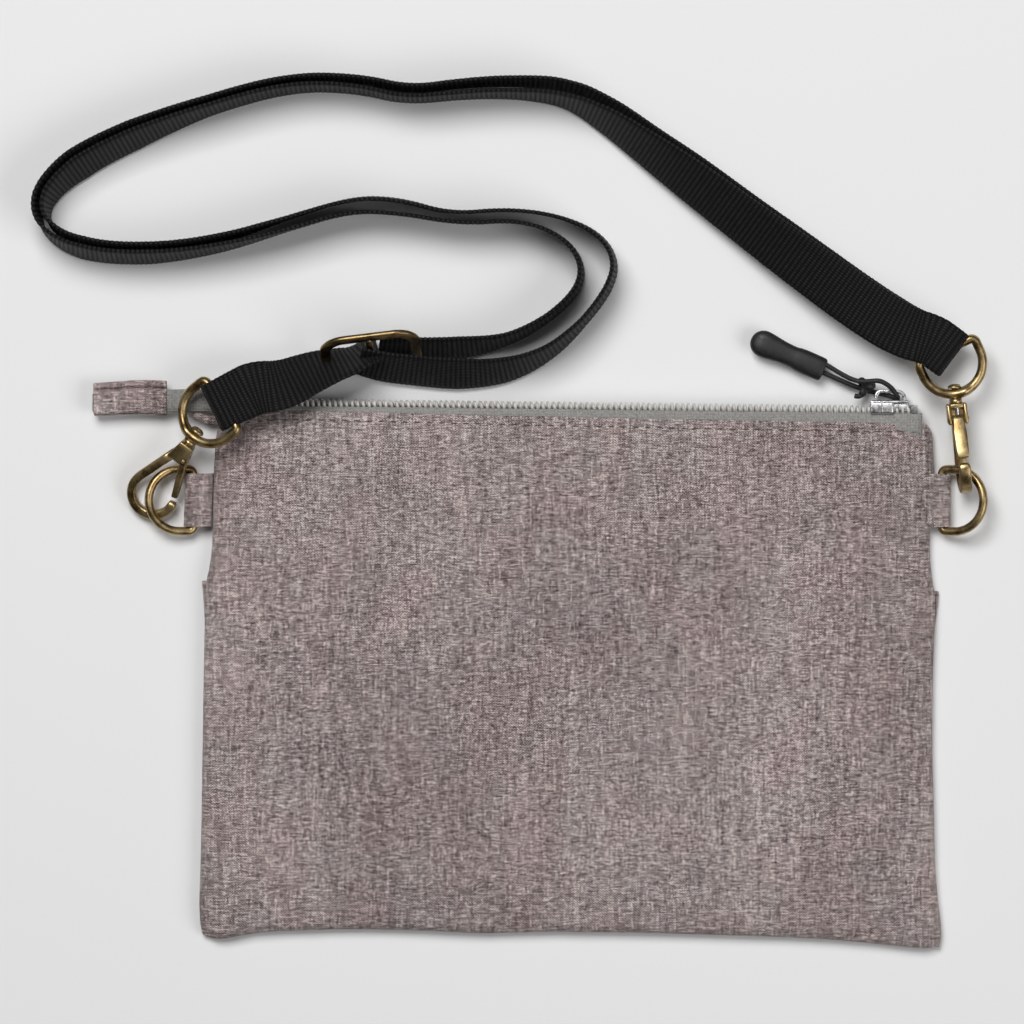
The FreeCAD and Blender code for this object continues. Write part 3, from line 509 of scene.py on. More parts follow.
def panel_points(across, up, bottom=BOTTOM_EDGE, top=TOP_EDGE, left=LEFT_EDGE, right=RIGHT_EDGE):
    """A grid of points filling the panel's outline: rows from bottom to top, columns from left to right."""
    b, t = edge_at(bottom, across), edge_at(top, across)
    l, r = edge_at(left, up), edge_at(right, up)
    u, v = across[None, :, None], up[:, None, None]
    corners = ((1 - u) * (1 - v) * b[0] + u * (1 - v) * b[-1] + (1 - u) * v * t[0] + u * v * t[-1])
    return (1 - v) * b[None] + v * t[None] + (1 - u) * l[:, None] + u * r[:, None] - corners


def crowded(length, step, ends):
    """Shares from 0 to 1 along length in mm, close together at the ends and step apart between."""
    left = [0.0]
    for gap in ends:
        left.append(left[-1] + gap)
    inner = np.linspace(left[-1], length - left[-1], int((length - 2 * left[-1]) / step) + 1)
    return np.concatenate([left[:-1], inner, (length - np.array(left[:-1]))[::-1]]) / length


SEAM_STEPS = (0.5, 0.6, 0.8, 1.0, 1.3, 1.8)
PANEL_WIDE, PANEL_TALL = 203.0, 144.0
CORNER_BLEND = 1.6
panel_across = crowded(PANEL_WIDE, 2.3, SEAM_STEPS)
panel_up = crowded(PANEL_TALL, 2.3, SEAM_STEPS)
flat_points = panel_points(panel_across, panel_up)


def seam_distance(across, up):
    """How far each grid point is from the left, right and bottom seams, in mm, blended at the corners."""
    side = np.minimum(across, 1 - across)[None, :] * PANEL_WIDE + up[:, None] * 0
    foot = up[:, None] * PANEL_TALL + across[None, :] * 0
    near_seam = -np.log(np.exp(-side / CORNER_BLEND) + np.exp(-foot / CORNER_BLEND)) * CORNER_BLEND
    return near_seam, (1 - up)[:, None] * PANEL_TALL + across[None] * 0


near, from_top = seam_distance(panel_across, panel_up)
near = np.maximum(near, 0)
roll = np.sqrt(np.clip(1 - (1 - np.clip(near / 3.4, 0, 1)) ** 2, 0, 1))
rest_height = 1.9 + 3.3 * roll + 1.5 * (1 - np.exp(-near / 16.0))
rest_height -= 0.6 * np.exp(-from_top / 0.9)


def grid_faces(rows, columns):
    """Faces of a grid of points, row by row."""
    return [(i * columns + j, i * columns + j + 1, (i + 1) * columns + j + 1, (i + 1) * columns + j)
            for i in range(rows - 1) for j in range(columns - 1)]


WARP_PITCH, WEFT_PITCH = 0.00039, 0.00034
cloth, tree, shader = new_finish("heathered_cloth")


def weave_cloth(tree, shader, warm, pale, dark, strength=1.0):
    """Plain weave in melange yarns: light and dark threads, slubs along the warp, and scattered dark flecks."""
    place = wire(tree, "ShaderNodeTexCoord").outputs["Object"]
    wander = wire(tree, "ShaderNodeTexNoise", {"Vector": place, "Scale": 90.0, "Detail": 2.0})
    bent = wire(tree, "ShaderNodeVectorMath", {0: wander.outputs["Color"], 1: (0.0006, 0.0006, 0.0)},
                operation="MULTIPLY").outputs[0]
    threads = wire(tree, "ShaderNodeVectorMath", {0: place, 1: bent}, operation="ADD").outputs[0]
    axis = wire(tree, "ShaderNodeSeparateXYZ", {0: threads})
    warp = maths(tree, "SINE", maths(tree, "MULTIPLY", axis.outputs[0], math.pi / WARP_PITCH))
    weft = maths(tree, "SINE", maths(tree, "MULTIPLY", axis.outputs[1], math.pi / WEFT_PITCH))
    over = maths(tree, "MULTIPLY", warp, weft)

    def streak(scale, size, detail=2.0):
        """Noise drawn out along the threads."""
        spread = wire(tree, "ShaderNodeMapping", {"Vector": threads, "Scale": scale})
        return wire(tree, "ShaderNodeTexNoise", {"Vector": spread.outputs[0], "Scale": size,
                                                 "Detail": detail}).outputs[0]

    warp_tone = streak((2500, 420, 100), 1.0)
    weft_tone = streak((420, 2900, 100), 1.0)
    speck = streak((2600, 2600, 900), 1.0, 1.0)
    slub = streak((1500, 95, 60), 1.0, 1.0)
    fleck = streak((620, 2300, 300), 1.0, 2.0)
    shade = streak((26, 11, 20), 1.0, 3.0)
    tone = maths(tree, "ADD", maths(tree, "MULTIPLY", over, 0.15), maths(tree, "ADD", maths(
        tree, "MULTIPLY", warp_tone, 0.5), maths(tree, "MULTIPLY", weft_tone, 0.95)))
    tone = maths(tree, "ADD", tone, maths(tree, "MULTIPLY", maths(tree, "SUBTRACT", slub, 0.5), 0.36))
    tone = maths(tree, "ADD", tone, maths(tree, "MULTIPLY", maths(tree, "SUBTRACT", speck, 0.5), 0.9))
    tone = maths(tree, "ADD", tone, maths(tree, "MULTIPLY", maths(tree, "SUBTRACT", shade, 0.5), 0.26))
    colour = ramp(tree, tone, [(0.46, dark), (0.70, warm), (0.80, warm), (0.98, pale)])
    spots = ramp(tree, fleck, [(0.30, 0.0), (0.37, 1.0)])
    hue = ramp(tree, streak((60, 45, 30), 1.0, 2.0),
               [(0.40, (1.03, 0.985, 0.98)), (0.60, (0.985, 1.0, 0.995))])
    colour = mixed(tree, 1.0, colour, hue, "MULTIPLY")
    colour = mixed(tree, 1.0, colour, mixed(tree, spots, (0.42, 0.38, 0.37, 1), (1, 1, 1, 1)), "MULTIPLY")
    tree.links.new(colour, shader.inputs["Base Color"])
    height = maths(tree, "ADD", over, maths(tree, "MULTIPLY", tone, 1.2))
    bump = wire(tree, "ShaderNodeBump", {"Strength": 0.55 * strength, "Distance": 0.00022, "Height": height})
    tree.links.new(bump.outputs[0], shader.inputs["Normal"])
    shader.inputs["Roughness"].default_value = 0.88
    shader.inputs["Specular IOR Level"].default_value = 0.2
    shader.inputs["Sheen Weight"].default_value = 0.15
    shader.inputs["Sheen Roughness"].default_value = 0.5


weave_cloth(tree, shader, (0.345, 0.281, 0.272), (0.80, 0.70, 0.68), (0.075, 0.057, 0.055))


def settled(name, points, height, rows, columns):
    """Let the sewn-down panel relax: a little air under it, its seams held, its cloth slightly slack."""
    verts = [(x * 0.001, y * 0.001, z * 0.001) for (x, y), z in zip(points.reshape(-1, 2), height.ravel())]
    mesh = bpy.data.meshes.new(name)
    mesh.from_pydata(verts, [], grid_faces(rows, columns))
    trial = bpy.data.objects.new(name, mesh)
    scene.collection.objects.link(trial)
    held = trial.vertex_groups.new(name="seams")
    for i in range(rows):
        for j in range(columns):
            edge = min(i, rows - 1 - i, j, columns - 1 - j)
            if edge < 7:
                held.add([i * columns + j], 1.0 if edge < 4 else 0.6, "REPLACE")
    modifier = trial.modifiers.new("Cloth", "CLOTH")
    cloth_settings = modifier.settings
    cloth_settings.quality = 6
    cloth_settings.mass = 0.25
    cloth_settings.tension_stiffness = 40
    cloth_settings.compression_stiffness = 40
    cloth_settings.shear_stiffness = 15
    cloth_settings.bending_stiffness = 3.0
    cloth_settings.vertex_group_mass = "seams"
    cloth_settings.shrink_min = -0.004
    cloth_settings.use_pressure = True
    cloth_settings.uniform_pressure_force = 0.6
    cloth_settings.effector_weights.gravity = 0
    modifier.collision_settings.use_collision = False
    modifier.collision_settings.use_self_collision = False
    for step in range(1, 17):
        scene.frame_set(step)
    found = bpy.data.meshes.new_from_object(trial.evaluated_get(bpy.context.evaluated_depsgraph_get()))
    spots = np.array([v.co[:] for v in found.vertices]) * 1000
    scene.frame_set(1)
    bpy.data.objects.remove(trial)
    return spots


rows, columns = len(panel_up), len(panel_across)
start = np.concatenate([flat_points.reshape(-1, 2), rest_height.reshape(-1, 1)], axis=1)
front_spots = start.copy()
found = settled("front_trial", flat_points, rest_height, rows, columns)
move = found - start
front_spots[:, 2] += np.clip(move[:, 2], -0.9, 0.9)
front_spots[:, :2] += np.clip(move[:, :2], -0.4, 0.4)
puffed = front_spots[:, 2].reshape(rows, columns)
# soft drag lines and a shallow dent or two, as thin cloth over an empty pouch has
fx, fy = flat_points[..., 0], flat_points[..., 1]
calm = np.clip((near - 4) / 16, 0, 1) * np.clip((from_top - 4) / 14, 0, 1)
puffed += calm * (0.28 * np.sin(fx / 17 + fy / 60) * np.sin(fy / 23 + 1.0)
                  + 0.2 * np.sin((fx + fy * 0.5) / 9.5))
puffed += 0.16 * np.sin(fx / 3.1 + np.sin(fx / 11) * 2) * np.exp(-((near - 3.5) / 3.2) ** 2)
puffed -= 0.32 * np.exp(-((from_top - 2.4) / 0.8) ** 2)


def panel_solid(name, points, heights, thick, material, rows, columns):
    """A cloth panel with its own thickness, from a grid of its outer face."""
    verts = [(x * 0.001, y * 0.001, z * 0.001) for (x, y), z in zip(points.reshape(-1, 2), heights.ravel())]
    mesh = bpy.data.meshes.new(name)
    mesh.from_pydata(verts, [], grid_faces(rows, columns))
    mesh.polygons.foreach_set("use_smooth", [True] * len(mesh.polygons))
    mesh.materials.append(material)
    piece = bpy.data.objects.new(name, mesh)
    scene.collection.objects.link(piece)
    wall = piece.modifiers.new("thickness", "SOLIDIFY")
    wall.thickness = thick * 0.001
    wall.offset = -1
    soften = piece.modifiers.new("soften", "SUBSURF")
    soften.levels = soften.render_levels = 1
    return piece


front = panel_solid("front_cloth", front_spots[:, :2], puffed, 0.8, cloth, rows, columns)
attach(front, "root")
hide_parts("front_panel")

# the back lies flat on the table, its rim curling up to the seam
RIM_STEPS = (0.5, 0.8, 1.2, 2.0)
back_across, back_up = crowded(PANEL_WIDE, 6.0, RIM_STEPS), crowded(PANEL_TALL, 6.0, RIM_STEPS)
back_points = panel_points(back_across, back_up)
back_near, back_top = seam_distance(back_across, back_up)
back_near = np.maximum(np.minimum(back_near, back_top), 0)
back_height = 1.75 - 0.8 * np.sqrt(np.clip(1 - (1 - np.clip(back_near / 2.4, 0, 1)) ** 2, 0, 1))
back = panel_solid("back_cloth", back_points[::-1], back_height[::-1], 0.7, cloth,
                   len(back_up), len(back_across))
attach(back, "root")
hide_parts("back_panel")

# ---------------------------------------------------------------------------------------------------------
# The back slip pocket: a third panel of the same cloth, caught in the side and bottom seams. Its top edge
# is turned over twice and stitched, and stands a little proud of the pouch's sides.

POCKET_TOP = [(-102.4, 25.4), (-60, 24.6), (0, 24.4), (60, 24.0), (102.6, 22.4)]
pocket_left = [p for p in LEFT_EDGE if p[1] < 16] + [(-101.9, 20), (-102.4, 25.4)]
pocket_right = [p for p in RIGHT_EDGE if p[1] < 16] + [(102.2, 17.5), (102.6, 22.4)]
POCKET_TALL = 98.0
pocket_across, pocket_up = crowded(PANEL_WIDE, 6.0, RIM_STEPS), crowded(POCKET_TALL, 6.0, RIM_STEPS)
pocket_points = panel_points(pocket_across, pocket_up, BOTTOM_EDGE, POCKET_TOP, pocket_left, pocket_right)
pocket_near, _ = seam_distance(pocket_across, pocket_up)
pocket_height = 0.95 - 0.85 * np.sqrt(np.clip(1 - (1 - np.clip(pocket_near / 2.2, 0, 1)) ** 2, 0, 1))
pocket_height = np.maximum(pocket_height, 0.03)
pocket = panel_solid("pocket_cloth", pocket_points[::-1], pocket_height[::-1], 0.75, cloth,
                     len(pocket_up), len(pocket_across))
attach(pocket, "root")
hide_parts("back_pocket_panel")

# ---------------------------------------------------------------------------------------------------------
# Stitching: dark polyester thread. One row holds the front's turned edge to the zipper tape, and another
# holds the slip pocket's hem.

thread_finish, tree, shader = new_finish("dark_thread")
twist = wire(tree, "ShaderNodeTexNoise", {"Vector": wire(tree, "ShaderNodeTexCoord").outputs["Object"],
                                          "Scale": 3000.0, "Detail": 2.0}).outputs[0]
tree.links.new(ramp(tree, twist, [(0.3, (0.055, 0.035, 0.036)), (0.7, (0.13, 0.092, 0.09))]),
               shader.inputs["Base Color"])
shader.inputs["Roughness"].default_value = 0.8


def new_repeat(name, numbers):
    """An empty Geometry Nodes tree with named number inputs."""
    tree = bpy.data.node_groups.new(name, "GeometryNodeTree")
    tree.interface.new_socket(name="Geometry", in_out="INPUT", socket_type="NodeSocketGeometry")
    names = {}
    for label, (kind, value) in numbers.items():
        made = tree.interface.new_socket(name=label, in_out="INPUT", socket_type=kind)
        made.default_value = value if kind != "NodeSocketMaterial" else None
        names[label] = made.identifier
    tree.interface.new_socket(name="Geometry", in_out="OUTPUT", socket_type="NodeSocketGeometry")
    return tree, names, tree.nodes.new("NodeGroupInput"), tree.nodes.new("NodeGroupOutput")


stitch_tree, stitch_names, given, result = new_repeat("stitch_row", {
    "Pitch": ("NodeSocketFloat", 0.0033), "Stitch length": ("NodeSocketFloat", 0.0026),
    "Thread": ("NodeSocketFloat", 0.0005), "Material": ("NodeSocketMaterial", None)})
row_curve = wire(stitch_tree, "GeometryNodeMeshToCurve", {"Mesh": given.outputs["Geometry"]})
spaced = wire(stitch_tree, "GeometryNodeResampleCurve", {"Curve": row_curve.outputs[0],
                                                         "Length": given.outputs["Pitch"]}, mode="LENGTH")
bead = wire(stitch_tree, "GeometryNodeMeshUVSphere", {"Segments": 8, "Rings": 6, "Radius": 0.5})
stretch = wire(stitch_tree, "ShaderNodeCombineXYZ", {
    0: given.outputs["Stitch length"], 1: given.outputs["Thread"], 2: given.outputs["Thread"]})
stitch = wire(stitch_tree, "GeometryNodeTransform",
              {"Geometry": bead.outputs[0], "Scale": stretch.outputs[0]})
way = wire(stitch_tree, "FunctionNodeAlignRotationToVector", {
    "Vector": stitch_tree.nodes.new("GeometryNodeInputTangent").outputs[0]}, axis="X")
placed = wire(stitch_tree, "GeometryNodeInstanceOnPoints", {
    "Points": spaced.outputs[0], "Instance": stitch.outputs[0], "Rotation": way.outputs[0]})
real = wire(stitch_tree, "GeometryNodeRealizeInstances", {"Geometry": placed.outputs[0]})
finished = wire(stitch_tree, "GeometryNodeSetMaterial", {"Geometry": real.outputs[0],
                                                         "Material": given.outputs["Material"]})
stitch_tree.links.new(finished.outputs[0], result.inputs[0])


def repeated(name, lines, tree, names, **values):
    """Run a Geometry Nodes tree over polylines in metres, and keep the result as a plain mesh."""
    verts, edges = [], []
    for line in lines:
        edges += [(len(verts) + k, len(verts) + k + 1) for k in range(len(line) - 1)]
        verts += [tuple(p) for p in line]
    mesh = bpy.data.meshes.new(name)
    mesh.from_pydata(verts, edges, [])
    piece = bpy.data.objects.new(name, mesh)
    scene.collection.objects.link(piece)
    modifier = piece.modifiers.new("repeat", "NODES")
    modifier.node_group = tree
    for label, value in values.items():
        modifier[names[label.replace("_", " ").capitalize()]] = value
    bpy.context.view_layer.update()
    made = bpy.data.meshes.new_from_object(piece.evaluated_get(bpy.context.evaluated_depsgraph_get()))
    piece.modifiers.clear()
    piece.data = made
    made.polygons.foreach_set("use_smooth", [True] * len(made.polygons))
    return piece


def surface_of(piece):
    """A finder of points on a piece's surface, seen from above or below."""
    seen = piece.evaluated_get(bpy.context.evaluated_depsgraph_get())
    mesh = seen.to_mesh()
    tree = BVHTree.FromPolygons([v.co.copy() for v in mesh.vertices],
                                [tuple(p.vertices) for p in mesh.polygons])
    seen.to_mesh_clear()

    def height(x, y, down=True):
        """The surface's height at x and y, or None off the piece."""
        hit = tree.ray_cast(Vector((x, y, 1.0 if down else -1.0)), Vector((0, 0, -1 if down else 1)))[0]
        return hit.z if hit else None
    return height


bpy.context.view_layer.update()
front_height = surface_of(front)
row = []
for x in np.linspace(-0.0955, 0.0985, 160):
    y = float(np.interp(x * 1000, [p[0] for p in TOP_EDGE], [p[1] for p in TOP_EDGE])) * 0.001 - 0.0026
    z = front_height(x, y)
    if z is not None:
        row.append((x, y, z - 0.00002))
topstitch = repeated("topstitch", [row], stitch_tree, stitch_names, pitch=0.00335, stitch_length=0.0019,
                     thread=0.00042, material=thread_finish)
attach(topstitch, "root")
hem_line = edge_at(POCKET_TOP, np.linspace(0.02, 0.98, 90))
hem_rows = [[(x * 0.001, (y - 3.2) * 0.001, 0.00008) for x, y in hem_line]]
hem_stitch = repeated("pocket_hem_stitch", hem_rows, stitch_tree, stitch_names, pitch=0.00335,
                      stitch_length=0.0019, thread=0.00042, material=thread_finish)
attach(hem_stitch, "root")

# ---------------------------------------------------------------------------------------------------------
# The zipper: two light grey twill tapes, each with a nylon coil of about 1.55 mm pitch woven along its edge.
# The chain faces away from the pouch, and both coils show beyond the front panel's turned edge.


def chain_y(x):
    """The middle of the coils along the pouch, in mm: the chain rises a little towards the left."""
    return 74.55 - 0.0118 * (x + 75)


twill, tree, shader = new_finish("zipper_tape_twill")
place = wire(tree, "ShaderNodeTexCoord").outputs["Object"]
axis = wire(tree, "ShaderNodeSeparateXYZ", {0: place})
TWILL_TURNS = 7200.0
rib_one, rib_two = (
    maths(tree, "SINE", maths(tree, "MULTIPLY",
                              maths(tree, way, axis.outputs[0], axis.outputs[1]), TWILL_TURNS))
    for way in ("ADD", "SUBTRACT"))
woven = maths(tree, "MULTIPLY", rib_one, rib_two)
lint = wire(tree, "ShaderNodeTexNoise", {"Vector": place, "Scale": 2200.0, "Detail": 2.0}).outputs[0]
tree.links.new(ramp(tree, maths(tree, "ADD", maths(tree, "MULTIPLY", woven, 0.25), lint),
                    [(0.25, (0.22, 0.215, 0.205)), (0.55, (0.33, 0.325, 0.31)), (0.85, (0.47, 0.46, 0.44))]),
               shader.inputs["Base Color"])
twill_bump = wire(tree, "ShaderNodeBump", {"Strength": 0.5, "Distance": 0.0002, "Height": woven})
tree.links.new(twill_bump.outputs[0], shader.inputs["Normal"])
shader.inputs["Roughness"].default_value = 0.85

for node_name, level, side in (("zipper_tape_front", 5.35, 1), ("zipper_tape_back", 2.15, -1)):
    stations = np.linspace(-96.5, 97.5, 80)
    profile = [(-9.5, 0.0), (-4.0, 0.0), (-2.2, 0.02), (-1.3, 0.0), (-0.75, -0.12), (-0.45, -0.4),
               (-0.4, -0.8)]
    shape = [(a, b + 0.28) for a, b in profile] + [(a - 0.12, b - 0.22) for a, b in profile[::-1]]
    verts = [((x) * 0.001, (chain_y(x) - 0.35 + a) * 0.001, (level + side * b) * 0.001)
             for x in stations for a, b in shape]
    tape = mesh_piece(f"{node_name}_cloth", verts, tube_faces(len(stations), len(shape)), twill)
    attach(tape, "root")
    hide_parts(node_name)

coil_finish, tree, shader = new_finish("coil_nylon")
place = wire(tree, "ShaderNodeTexCoord").outputs["Object"]
soil = wire(tree, "ShaderNodeTexNoise", {"Vector": place, "Scale": 500.0, "Detail": 3.0}).outputs[0]
tree.links.new(ramp(tree, soil, [(0.3, (0.50, 0.48, 0.45)), (0.7, (0.78, 0.76, 0.72))]),
               shader.inputs["Base Color"])
shader.inputs["Roughness"].default_value = 0.38
shader.inputs["Subsurface Weight"].default_value = 0.08
shader.inputs["Subsurface Radius"].default_value = (0.001, 0.001, 0.001)

coil_tree, coil_names, given, result = new_repeat("coil_row", {
    "Pitch": ("NodeSocketFloat", 0.00155), "Filament": ("NodeSocketFloat", 0.0004),
    "Loop height": ("NodeSocketFloat", 0.00095), "Slant": ("NodeSocketFloat", 0.35),
    "Material": ("NodeSocketMaterial", None)})
row_curve = wire(coil_tree, "GeometryNodeMeshToCurve", {"Mesh": given.outputs["Geometry"]})
spaced = wire(coil_tree, "GeometryNodeResampleCurve", {"Curve": row_curve.outputs[0],
                                                       "Length": given.outputs["Pitch"]}, mode="LENGTH")
loop = wire(coil_tree, "GeometryNodeCurvePrimitiveCircle",
            {"Resolution": 12, "Radius": given.outputs["Loop height"]})
turned = wire(coil_tree, "GeometryNodeTransform",
              {"Geometry": loop.outputs[0], "Rotation": (0.0, math.pi / 2, 0.0), "Scale": (1.0, 1.0, 1.0)})
slanted = wire(coil_tree, "ShaderNodeCombineXYZ", {2: given.outputs["Slant"]})
skewed = wire(coil_tree, "GeometryNodeTransform",
              {"Geometry": turned.outputs[0], "Rotation": slanted.outputs[0]})
wire_round = wire(coil_tree, "GeometryNodeCurvePrimitiveCircle", {"Resolution": 6,
                                                                  "Radius": given.outputs["Filament"]})
tooth = wire(coil_tree, "GeometryNodeCurveToMesh", {"Curve": skewed.outputs[0],
                                                    "Profile Curve": wire_round.outputs[0]})
placed = wire(coil_tree, "GeometryNodeInstanceOnPoints",
              {"Points": spaced.outputs[0], "Instance": tooth.outputs[0]})
real = wire(coil_tree, "GeometryNodeRealizeInstances", {"Geometry": placed.outputs[0]})
finished = wire(coil_tree, "GeometryNodeSetMaterial", {"Geometry": real.outputs[0],
                                                       "Material": given.outputs["Material"]})
coil_tree.links.new(finished.outputs[0], result.inputs[0])

for node_name, level, out, start, slant in (("zipper_coil_front", 4.95, 0.0, -93.0, 0.16),
                                            ("zipper_coil_back", 3.05, 0.28, -92.2, -0.16)):
    line = [((x) * 0.001, (chain_y(x) + out) * 0.001, level * 0.001) for x in np.linspace(start, 93.6, 3)]
    coil = repeated(f"{node_name}_loops", [line], coil_tree, coil_names, pitch=0.00155, filament=0.00047,
                    loop_height=0.00062, slant=slant, material=coil_finish)
    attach(coil, "root")
    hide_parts(node_name)

steel, tree, shader = new_finish("nickel_plate")
place = wire(tree, "ShaderNodeTexCoord").outputs["Object"]
smear = wire(tree, "ShaderNodeTexNoise", {"Vector": place, "Scale": 700.0, "Detail": 3.0}).outputs[0]
tree.links.new(ramp(tree, smear, [(0.3, (0.62, 0.61, 0.62)), (0.7, (0.83, 0.82, 0.83))]),
               shader.inputs["Base Color"])
tree.links.new(ramp(tree, smear, [(0.3, 0.2), (0.7, 0.36)]), shader.inputs["Roughness"])
shader.inputs["Metallic"].default_value = 1.0
for node_name in ("zipper_top_stops", "zipper_bottom_stop"):
    nodes[node_name].data.materials.clear()
    nodes[node_name].data.materials.append(steel)
inner_cloth, tree, shader = new_finish("lining_taffeta")
place = wire(tree, "ShaderNodeTexCoord").outputs["Object"]
sleek = wire(tree, "ShaderNodeTexNoise", {"Vector": place, "Scale": 1500.0, "Detail": 2.0}).outputs[0]
tree.links.new(ramp(tree, sleek, [(0.3, (0.06, 0.055, 0.055)), (0.7, (0.10, 0.09, 0.09))]),
               shader.inputs["Base Color"])
shader.inputs["Roughness"].default_value = 0.6
for node_name, level in (("lining_back", 2.5), ("lining_front", 4.4)):
    inset = panel_points(back_across, back_up) * np.array([0.93, 0.92]) - np.array([0.0, 1.0])
    wave = level + 0.2 * np.sin(inset[..., 0] / 14) * np.sin(inset[..., 1] / 19)
    lining = panel_solid(f"{node_name}_cloth", inset, wave, 0.3, inner_cloth, len(back_up), len(back_across))
    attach(lining, "root")
    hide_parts(node_name)

# ---------------------------------------------------------------------------------------------------------
# The slider: plated zinc, closed over the chain at its right end. Its two flanges show as a bright block,
# with the bridge standing up behind it for the puller's cord.


def soft_block(low, high, corner, steps=3):
    """A box with rounded edges all round, in mm, as stacked rounded sections."""
    wide, high_y = high[0] - low[0], high[1] - low[1]
    middle = ((low[0] + high[0]) / 2, (low[1] + high[1]) / 2)
    layers = [(low[2] + corner * (1 - math.cos(math.radians(90 * k / steps))),
               corner * (1 - math.sin(math.radians(90 * k / steps)))) for k in range(steps + 1)]
    layers += [(low[2] + high[2] - z, inset) for z, inset in layers[::-1]]
    verts = []
    for z, inset in layers:
        for a, b in bar_section(wide - 2 * inset, high_y - 2 * inset, max(corner - inset, 0.02)):
            verts.append(Vector(((middle[0] + a) * 0.001, (middle[1] + b) * 0.001, z * 0.001)))
    return verts, tube_faces(len(layers), 16)


def rod_through(spots, radius, count=12, swell=None):
    """A round rod through points in space, given in mm, with rounded-off ends when swell says so."""
    spine = np.array(spots, dtype=float)
    way = np.gradient(spine, axis=0)
    way /= np.linalg.norm(way, axis=1)[:, None]
    side = np.cross(way[0], (0.12, 0.2, 0.97))
    verts = []
    for i, (point, along) in enumerate(zip(spine, way)):
        side = side - along * side.dot(along)
        side /= np.linalg.norm(side)
        up = np.cross(along, side)
        r = radius * (1.0 if swell is None else swell[i])
        for k in range(count):
            turn = 2 * math.pi * k / count
            spot = point + side * (r * math.cos(turn)) + up * (r * math.sin(turn))
            verts.append(Vector(spot * 0.001))
    return verts, tube_faces(len(spine), count)


def smooth_line(spots, fine=14):
    """A smooth curve in mm through control points, read from a quadratic spline."""
    rows = [(x * 0.001, y * 0.001, z * 0.001, 0) for x, y, z in spots]
    return run_of("line", rows)[0][::max(1, 48 // fine)] * 1000


flange_front = soft_block((82.9, 71.6, 4.6), (89.5, 75.0, 7.0), 0.55)
flange_back = soft_block((82.9, 71.6, 0.6), (89.5, 75.0, 3.0), 0.55)
nose = soft_block((88.6, 71.8, 2.0), (94.0, 74.9, 5.8), 0.7)
face_plate = soft_block((82.9, 74.4, 0.7), (94.0, 75.3, 6.9), 0.4)
ridge = soft_block((86.0, 71.9, 6.6), (86.5, 74.8, 7.15), 0.2)
bridge_path = arc((86.3, 76.4), 1.5, 200, 100, 6) + arc((90.6, 75.7), 2.1, 80, -35, 10) + [(92.7, 73.0)]
bridge = bent_bar(bridge_path, bar_section(1.0, 1.5, 0.3), Matrix.Translation((0, 0, 0.0038)))
slider_parts = [flange_front, flange_back, nose, face_plate, ridge, bridge]
slider = mesh_piece("slider_body", *gathered(slider_parts), steel)
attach(slider, "slider")
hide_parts("zipper_slider")

# ---------------------------------------------------------------------------------------------------------
# The puller: a loop of thin black cord through the bridge, knotted, with its two ends moulded into a grip
# of matt black rubber that swells to a round end.

cord_finish, tree, shader = new_finish("black_cord")
place = wire(tree, "ShaderNodeTexCoord").outputs["Object"]
braid = wire(tree, "ShaderNodeTexNoise", {"Vector": place, "Scale": 2400.0, "Detail": 2.0}).outputs[0]
tree.links.new(ramp(tree, braid, [(0.3, 0.005), (0.7, 0.017)]), shader.inputs["Base Color"])
braid_bump = wire(tree, "ShaderNodeBump", {"Strength": 0.6, "Distance": 0.0002, "Height": braid})
tree.links.new(braid_bump.outputs[0], shader.inputs["Normal"])
shader.inputs["Roughness"].default_value = 0.55

loop_line = smooth_line([
    (69.2, 86.3, 4.7), (74.5, 82.9, 4.8), (79.0, 80.6, 5.0), (82.6, 80.5, 5.7), (85.6, 80.9, 6.0),
    (88.6, 79.2, 5.8), (90.4, 76.9, 5.3), (90.9, 75.8, 4.2), (90.1, 76.0, 2.9), (88.0, 76.9, 2.0),
    (84.6, 77.6, 1.9), (81.2, 78.4, 2.4), (76.0, 80.4, 3.0), (69.0, 83.6, 3.2)])
turns = np.linspace(0, 2 * math.pi, 60, endpoint=False)
knot_way = np.array([-0.915, 0.4035, 0.0])
knot_side = np.array([0.4035, 0.915, 0.0])
knot_line = [np.array([81.8, 79.1, 3.9]) + knot_way * (1.15 * math.sin(t) + 1.0 * math.sin(2 * t))
             + knot_side * (1.25 * math.cos(t) - 1.15 * math.cos(2 * t))
             + np.array([0, 0, 1]) * (-1.1 * math.sin(3 * t)) for t in turns]
knot = rod_through(knot_line + knot_line[:2], 0.8, 8)
stub_line = smooth_line([(82.0, 78.2, 4.4), (81.0, 77.0, 4.6), (79.9, 76.3, 4.4), (78.9, 76.6, 4.0)])
stub = rod_through(stub_line, 0.68, 8, np.linspace(0.95, 1.08, len(stub_line)))
PULLER_CORD_HALF = 0.7
doubled = rod_through(loop_line, PULLER_CORD_HALF, 10)
puller_loop = mesh_piece("puller_cord_loop", *gathered([doubled, knot, stub]), cord_finish)
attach(puller_loop, "puller")
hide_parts("puller_cord")

rubber, tree, shader = new_finish("matt_rubber")
place = wire(tree, "ShaderNodeTexCoord").outputs["Object"]
dust = wire(tree, "ShaderNodeTexNoise", {"Vector": place, "Scale": 900.0, "Detail": 4.0}).outputs[0]
tree.links.new(ramp(tree, dust, [(0.35, 0.006), (0.75, 0.013)]), shader.inputs["Base Color"])
tree.links.new(ramp(tree, dust, [(0.3, 0.42), (0.7, 0.6)]), shader.inputs["Roughness"])
skin = wire(tree, "ShaderNodeBump", {"Strength": 0.12, "Distance": 0.0001, "Height": dust})
tree.links.new(skin.outputs[0], shader.inputs["Normal"])

